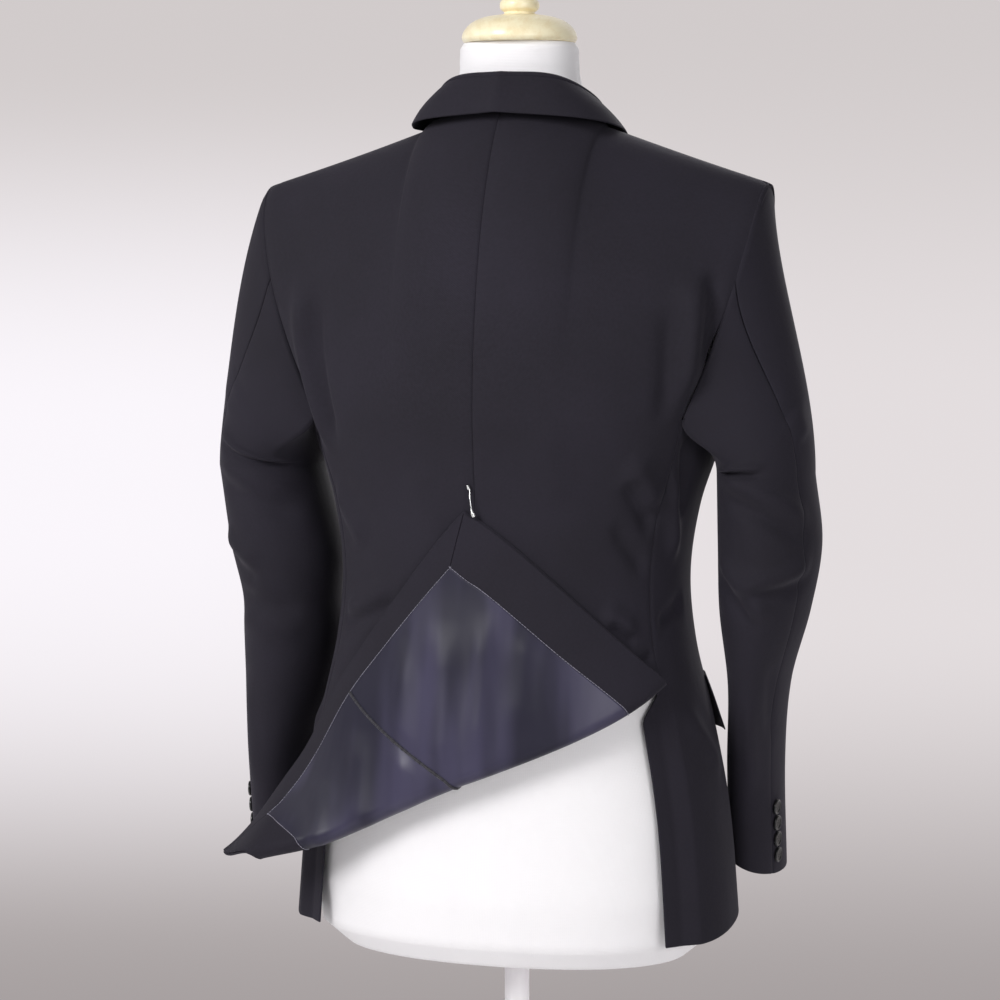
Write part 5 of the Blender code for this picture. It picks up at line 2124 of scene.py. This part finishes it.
def carved_button() -> Object:
    """A four-hole button of unit radius lying on the XY plane.

    Returns:
        The button.
    """
    body = unit_turned("button_blank", BUTTON_PROFILE, 0.0, 0.0, 40)
    for x, y in ((1, 1), (-1, 1), (-1, -1), (1, -1)):
        drill = unit_turned("drill", DRILL_PROFILE, x * HOLE_AT, y * HOLE_AT, 12)
        cut = body.modifiers.new("hole", "BOOLEAN")
        cut.operation, cut.object, cut.solver = "DIFFERENCE", drill, "EXACT"
        mesh = baked(body)
        body.modifiers.clear()
        body.data = mesh
        bpy.data.objects.remove(drill)
    return body


@dataclass
class Fastenings:
    """Horn buttons on the cuffs and the front, each copied on its points."""

    wardrobe: Wardrobe
    cuff_radius: float = 0.0070
    cuff_low: float = 0.018
    cuff_pitch: float = 0.0155
    cuff_turn: float = 9.0
    front_radius: float = 0.0100
    front_lift: float = 0.0008
    front_angle: float = 179.9
    spin: float = 0.5
    cuff_count: int = 4
    probe: float = 0.01

    def points(self, name: str, places: Sequence[tuple[Array, Array]]) -> Object:
        """Mesh of loose points that carry the direction each button faces.

        Args:
            name: Name of the mesh.
            places: Place and direction of each button.

        Returns:
            The object.
        """
        mesh = bpy.data.meshes.new(name)
        mesh.from_pydata([tuple(point) for point, _ in places], [], [])
        facing = mesh.attributes.new("facing", "FLOAT_VECTOR", "POINT")
        facing.data.foreach_set("vector", np.array([way for _, way in places], np.float32).ravel())
        return linked(name, mesh)

    def seat(self, surface: Surface, u: float, v: float, lift: float) -> tuple[Array, Array]:
        """Place and direction of a button.

        Args:
            surface: The cloth that it lies on.
            u: First parameter.
            v: Second parameter.
            lift: Distance from the cloth.

        Returns:
            A point and a unit vector.
        """
        lifts = (lift, lift + self.probe)
        first, second = (lifted(surface, np.array([u]), np.array([v]), out, DEGREE_STEP)[0] for out in lifts)
        return first + CENTRE, unit(second - first)

    def set_run(
        self, tool: NodeTool, name: str, size: float,
        places: Sequence[tuple[Array, Array]], nodes: Sequence[str],
    ) -> None:
        """Copy the button at one size onto a run of places that stands for some solids."""
        values = dict(Size=size, Turn=(0.0, 0.0, self.spin), Material=self.wardrobe.material(Finish.HORN))
        self.wardrobe.dress(tool.apply(name, self.points(name, places), values), Finish.HORN, *nodes)

    def build(self) -> None:
        """Set the buttons."""
        blank = carved_button()
        tool = button_tool(blank)
        for name, side in SIDES.items():
            surface, angle = sleeve_surface(name), side * (HIND_SEAM + self.cuff_turn)
            steps = (self.cuff_low + self.cuff_pitch * index for index in range(self.cuff_count))
            heights = [step / (BICEPS_Z - CUFF_Z) for step in steps]
            places = [self.seat(surface, angle, height, 2 * GAP) for height in heights]
            nodes = [f"cuff_button_{name}_{number}" for number in range(1, self.cuff_count + 1)]
            self.set_run(tool, f"cuff_buttons_{name}", self.cuff_radius, places, nodes)
        heights = (TOP_BUTTON_Z, TOP_BUTTON_Z - BUTTON_PITCH)
        places = [self.seat(front_surface, self.front_angle, height, self.front_lift) for height in heights]
        self.set_run(tool, "front_buttons", self.front_radius, places, ("front_button_1", "front_button_2"))
        bpy.data.objects.remove(blank)


@dataclass
class Collar:
    """Stand and fall of the collar round the neck."""

    tailor: Tailor

    def build(self) -> None:
        """One closed wall from the foot of the stand over the fold to the edge."""
        t = spaced(0.40, 0.0030)
        u = mix(-1.0, 1.0, t)
        stand, roll = np.linspace(0, 1.0, 12)[:-1], np.linspace(1.0, COLLAR_ROLL, 22)[:-1]
        v = np.concatenate((stand, roll, np.linspace(COLLAR_ROLL, 1.97, 22), [1.985, 2.0]))[:, None]
        u, v = np.broadcast_arrays(u[None, :], v)
        x, y = u * 0.20, v * 0.035
        shell = Shell(collar_surface, u, v, x, y, step_u=0.01)
        cut = Cut(0.40, 0.085, 0.85, Hold.FOLDED, ("back_panel_left", "back_panel_right"))
        self.tailor.panel("collar_leaf", "collar", shell, cut)


# ---- the studio ----------------------------------------------------------------------------------
LAMP_TARGET = Vector((0.0, 0.0, 1.1))
FLOOR_HALF = 6.0


def looking(place: Vector, target: Vector) -> Euler:
    """Rotation of a lamp or camera that looks from one point at another."""
    return (target - place).to_track_quat("-Z", "Y").to_euler()


@dataclass(frozen=True)
class SoftBox:
    """A square lamp that looks at the jacket."""

    name: str
    place: tuple[float, float, float]
    size: float
    power: float

    def build(self) -> None:
        """Hang the lamp."""
        lamp = bpy.data.lights.new(self.name, "AREA")
        lamp.size, lamp.energy = self.size, self.power
        holder = linked(self.name, lamp)
        holder.location = self.place
        holder.rotation_euler = looking(Vector(self.place), LAMP_TARGET)


LAMPS = (
    SoftBox("key", (1.5, 3.0, 2.9), 1.5, 101.0),
    SoftBox("left_fill", (2.9, 0.8, 2.2), 1.6, 15.0),
    SoftBox("right_fill", (-2.4, 2.6, 1.6), 1.6, 40.0),
    SoftBox("front_fill", (0.0, -3.0, 2.4), 2.0, 60.0),
)


@dataclass(frozen=True)
class Floor:
    """Pale matt floor."""

    light: Colour = (0.78, 0.77, 0.77)
    dark: Colour = (0.74, 0.73, 0.73)

    def material(self) -> Material:
        """Slight grain in the tone.

        Returns:
            The finished material.
        """
        s = Shader("pale_floor")
        grain = s.noise(s.place(False), 30.0)
        return s.finish(Base_Color=s.blend(self.light, self.dark, grain), Roughness=0.8)


@dataclass(frozen=True)
class Backdrop:
    """Grey paper with painted light and shade: a painted bright patch at half height to one side, and painted
    shade darker towards the floor.
    """

    # painted shade low down, painted light at half height and above, and a painted bright patch
    low: Colour = (0.385, 0.352, 0.352)
    middle: Colour = (0.770, 0.725, 0.735)
    high: Colour = (0.640, 0.600, 0.600)
    bright: Colour = (0.960, 0.925, 0.970)

    def material(self) -> Material:
        """Painted light and shade, shown as a glow where it is seen; plain paper for light, and nothing from
        behind.

        Returns:
            The finished material.
        """
        s = Shader("grey_backdrop")
        x, _, z = s.parts(s.place(False))
        # painted light and shade: darker towards the floor, lighter at half height, a bright patch to one
        # side
        tone = s.blend(self.low, self.middle, z.ramp(0.20, 0.82))
        tone = s.blend(tone, self.high, z.ramp(1.10, 1.68))
        painted_light_patch = x.ramp(0.0, 0.95) * z.ramp(0.32, 0.95) * (1.0 - z.ramp(1.08, 1.60))
        tone = s.blend(tone, self.bright, painted_light_patch)
        # the painted tone glows to the camera and in reflections, though the backdrop is no lamp
        glow = s.node("ShaderNodeEmission", inputs={"Color": tone, "Strength": 1.0})
        paper = s.node("ShaderNodeBsdfDiffuse", inputs={"Color": tone})
        path = s.node("ShaderNodeLightPath").link.node.outputs
        camera, glossy, through, shadow = (
            Sock(s, path[f"Is {ray} Ray"]) for ray in ("Camera", "Glossy", "Transmission", "Shadow")
        )
        front = s.node("ShaderNodeMixShader", inputs={0: camera + glossy + through, 1: paper, 2: glow})
        behind = s.node("ShaderNodeNewGeometry", output="Backfacing")
        clear = s.node("ShaderNodeBsdfTransparent")
        whole = s.node("ShaderNodeMixShader", inputs={0: behind + shadow, 1: front, 2: clear})
        s.tree.links.new(whole.link, s.output.inputs["Surface"])
        return s.material


@dataclass
class Studio:
    """Pale floor and backdrop, soft lamps and the camera."""

    azimuth: float = 197.16
    distance: float = 2.597
    eye: float = 1.354
    aim: float = 1.121
    pan: float = -0.0136
    lens: float = 104.6
    wall_distance: float = 1.6
    wall_half: float = 3.0
    wall_low: float = 0.001
    wall_high: float = 3.2
    sky: Colour = (0.80, 0.79, 0.81)
    sky_light: float = 0.24
    sky_seen: float = 0.66

    def plane(self, name: str, corners: Sequence[Sequence[float]], material: Material) -> None:
        """Add a plane to the stage.

        Args:
            name: Name of the plane.
            corners: Its four corners in order.
            material: Its material.
        """
        mesh = bpy.data.meshes.new(name)
        mesh.from_pydata([tuple(corner) for corner in corners], [], [(0, 1, 2, 3)])
        mesh.materials.append(material)
        piece = linked(name, mesh)

    def build_sky(self) -> None:
        """Dim light from all round, shown brighter to the camera past the backdrop."""
        world = bpy.data.worlds.new("studio")
        world.use_nodes = True
        nodes, links = world.node_tree.nodes, world.node_tree.links
        sky = nodes["Background"].inputs
        sky["Color"].default_value = (*self.sky, 1.0)
        rays, seen, level = (nodes.new(f"ShaderNode{kind}") for kind in ("LightPath", "Math", "Math"))
        level.operation = "MULTIPLY_ADD"
        links.new(rays.outputs["Is Camera Ray"], seen.inputs[0])
        links.new(rays.outputs["Is Transmission Ray"], seen.inputs[1])
        links.new(seen.outputs[0], level.inputs[0])
        level.inputs[1].default_value, level.inputs[2].default_value = self.sky_seen, self.sky_light
        links.new(level.outputs[0], sky["Strength"])
        bpy.context.scene.world = world

    def build_camera(self) -> Vector:
        """Set the camera.

        Returns:
            Its place.
        """
        turn = math.radians(self.azimuth)
        place = Vector((math.sin(turn) * self.distance, -math.cos(turn) * self.distance, self.eye))
        target = Vector((math.cos(turn) * self.pan, math.sin(turn) * self.pan, self.aim))
        data = bpy.data.cameras.new("camera")
        data.lens = self.lens
        camera = linked("camera", data)
        camera.location, camera.rotation_euler = place, looking(place, target)
        bpy.context.scene.camera = camera
        return place

    def build_wall(self, eye: Vector) -> None:
        """Stand the backdrop upright behind the jacket, square to the camera.

        Args:
            eye: Where the camera stands.
        """
        away = Vector((-eye.x, -eye.y, 0.0)).normalized()
        across = Vector((away.y, -away.x, 0.0)) * self.wall_half
        low, high = (away * self.wall_distance + Vector((0, 0, z)) for z in (self.wall_low, self.wall_high))
        corners = (low - across, low + across, high + across, high - across)
        self.plane("backdrop", corners, Backdrop().material())

    def build(self) -> None:
        """Set the stage, the lamps and the camera."""
        corners = [(x * FLOOR_HALF, y * FLOOR_HALF, 0.0) for x, y in ((-1, -1), (1, -1), (1, 1), (-1, 1))]
        self.plane("floor", corners, Floor().material())
        self.build_sky()
        for lamp in LAMPS:
            lamp.build()
        self.build_wall(self.build_camera())
        bpy.context.scene.view_settings.view_transform = "Standard"


def main() -> None:
    """Build the form, the jacket and the studio."""
    logging.basicConfig(level=logging.INFO, format="%(name)s %(message)s")
    wardrobe = Wardrobe()
    tailor = Tailor(wardrobe)
    DressForm(wardrobe).build()
    Body(tailor).build()
    SkirtTrims(tailor, stitch_tool()).build()
    for name in SIDES:
        Sleeve(tailor, name).build()
    Collar(tailor).build()
    Fastenings(wardrobe).build()
    Studio().build()


if __name__ == "__main__":
    main()
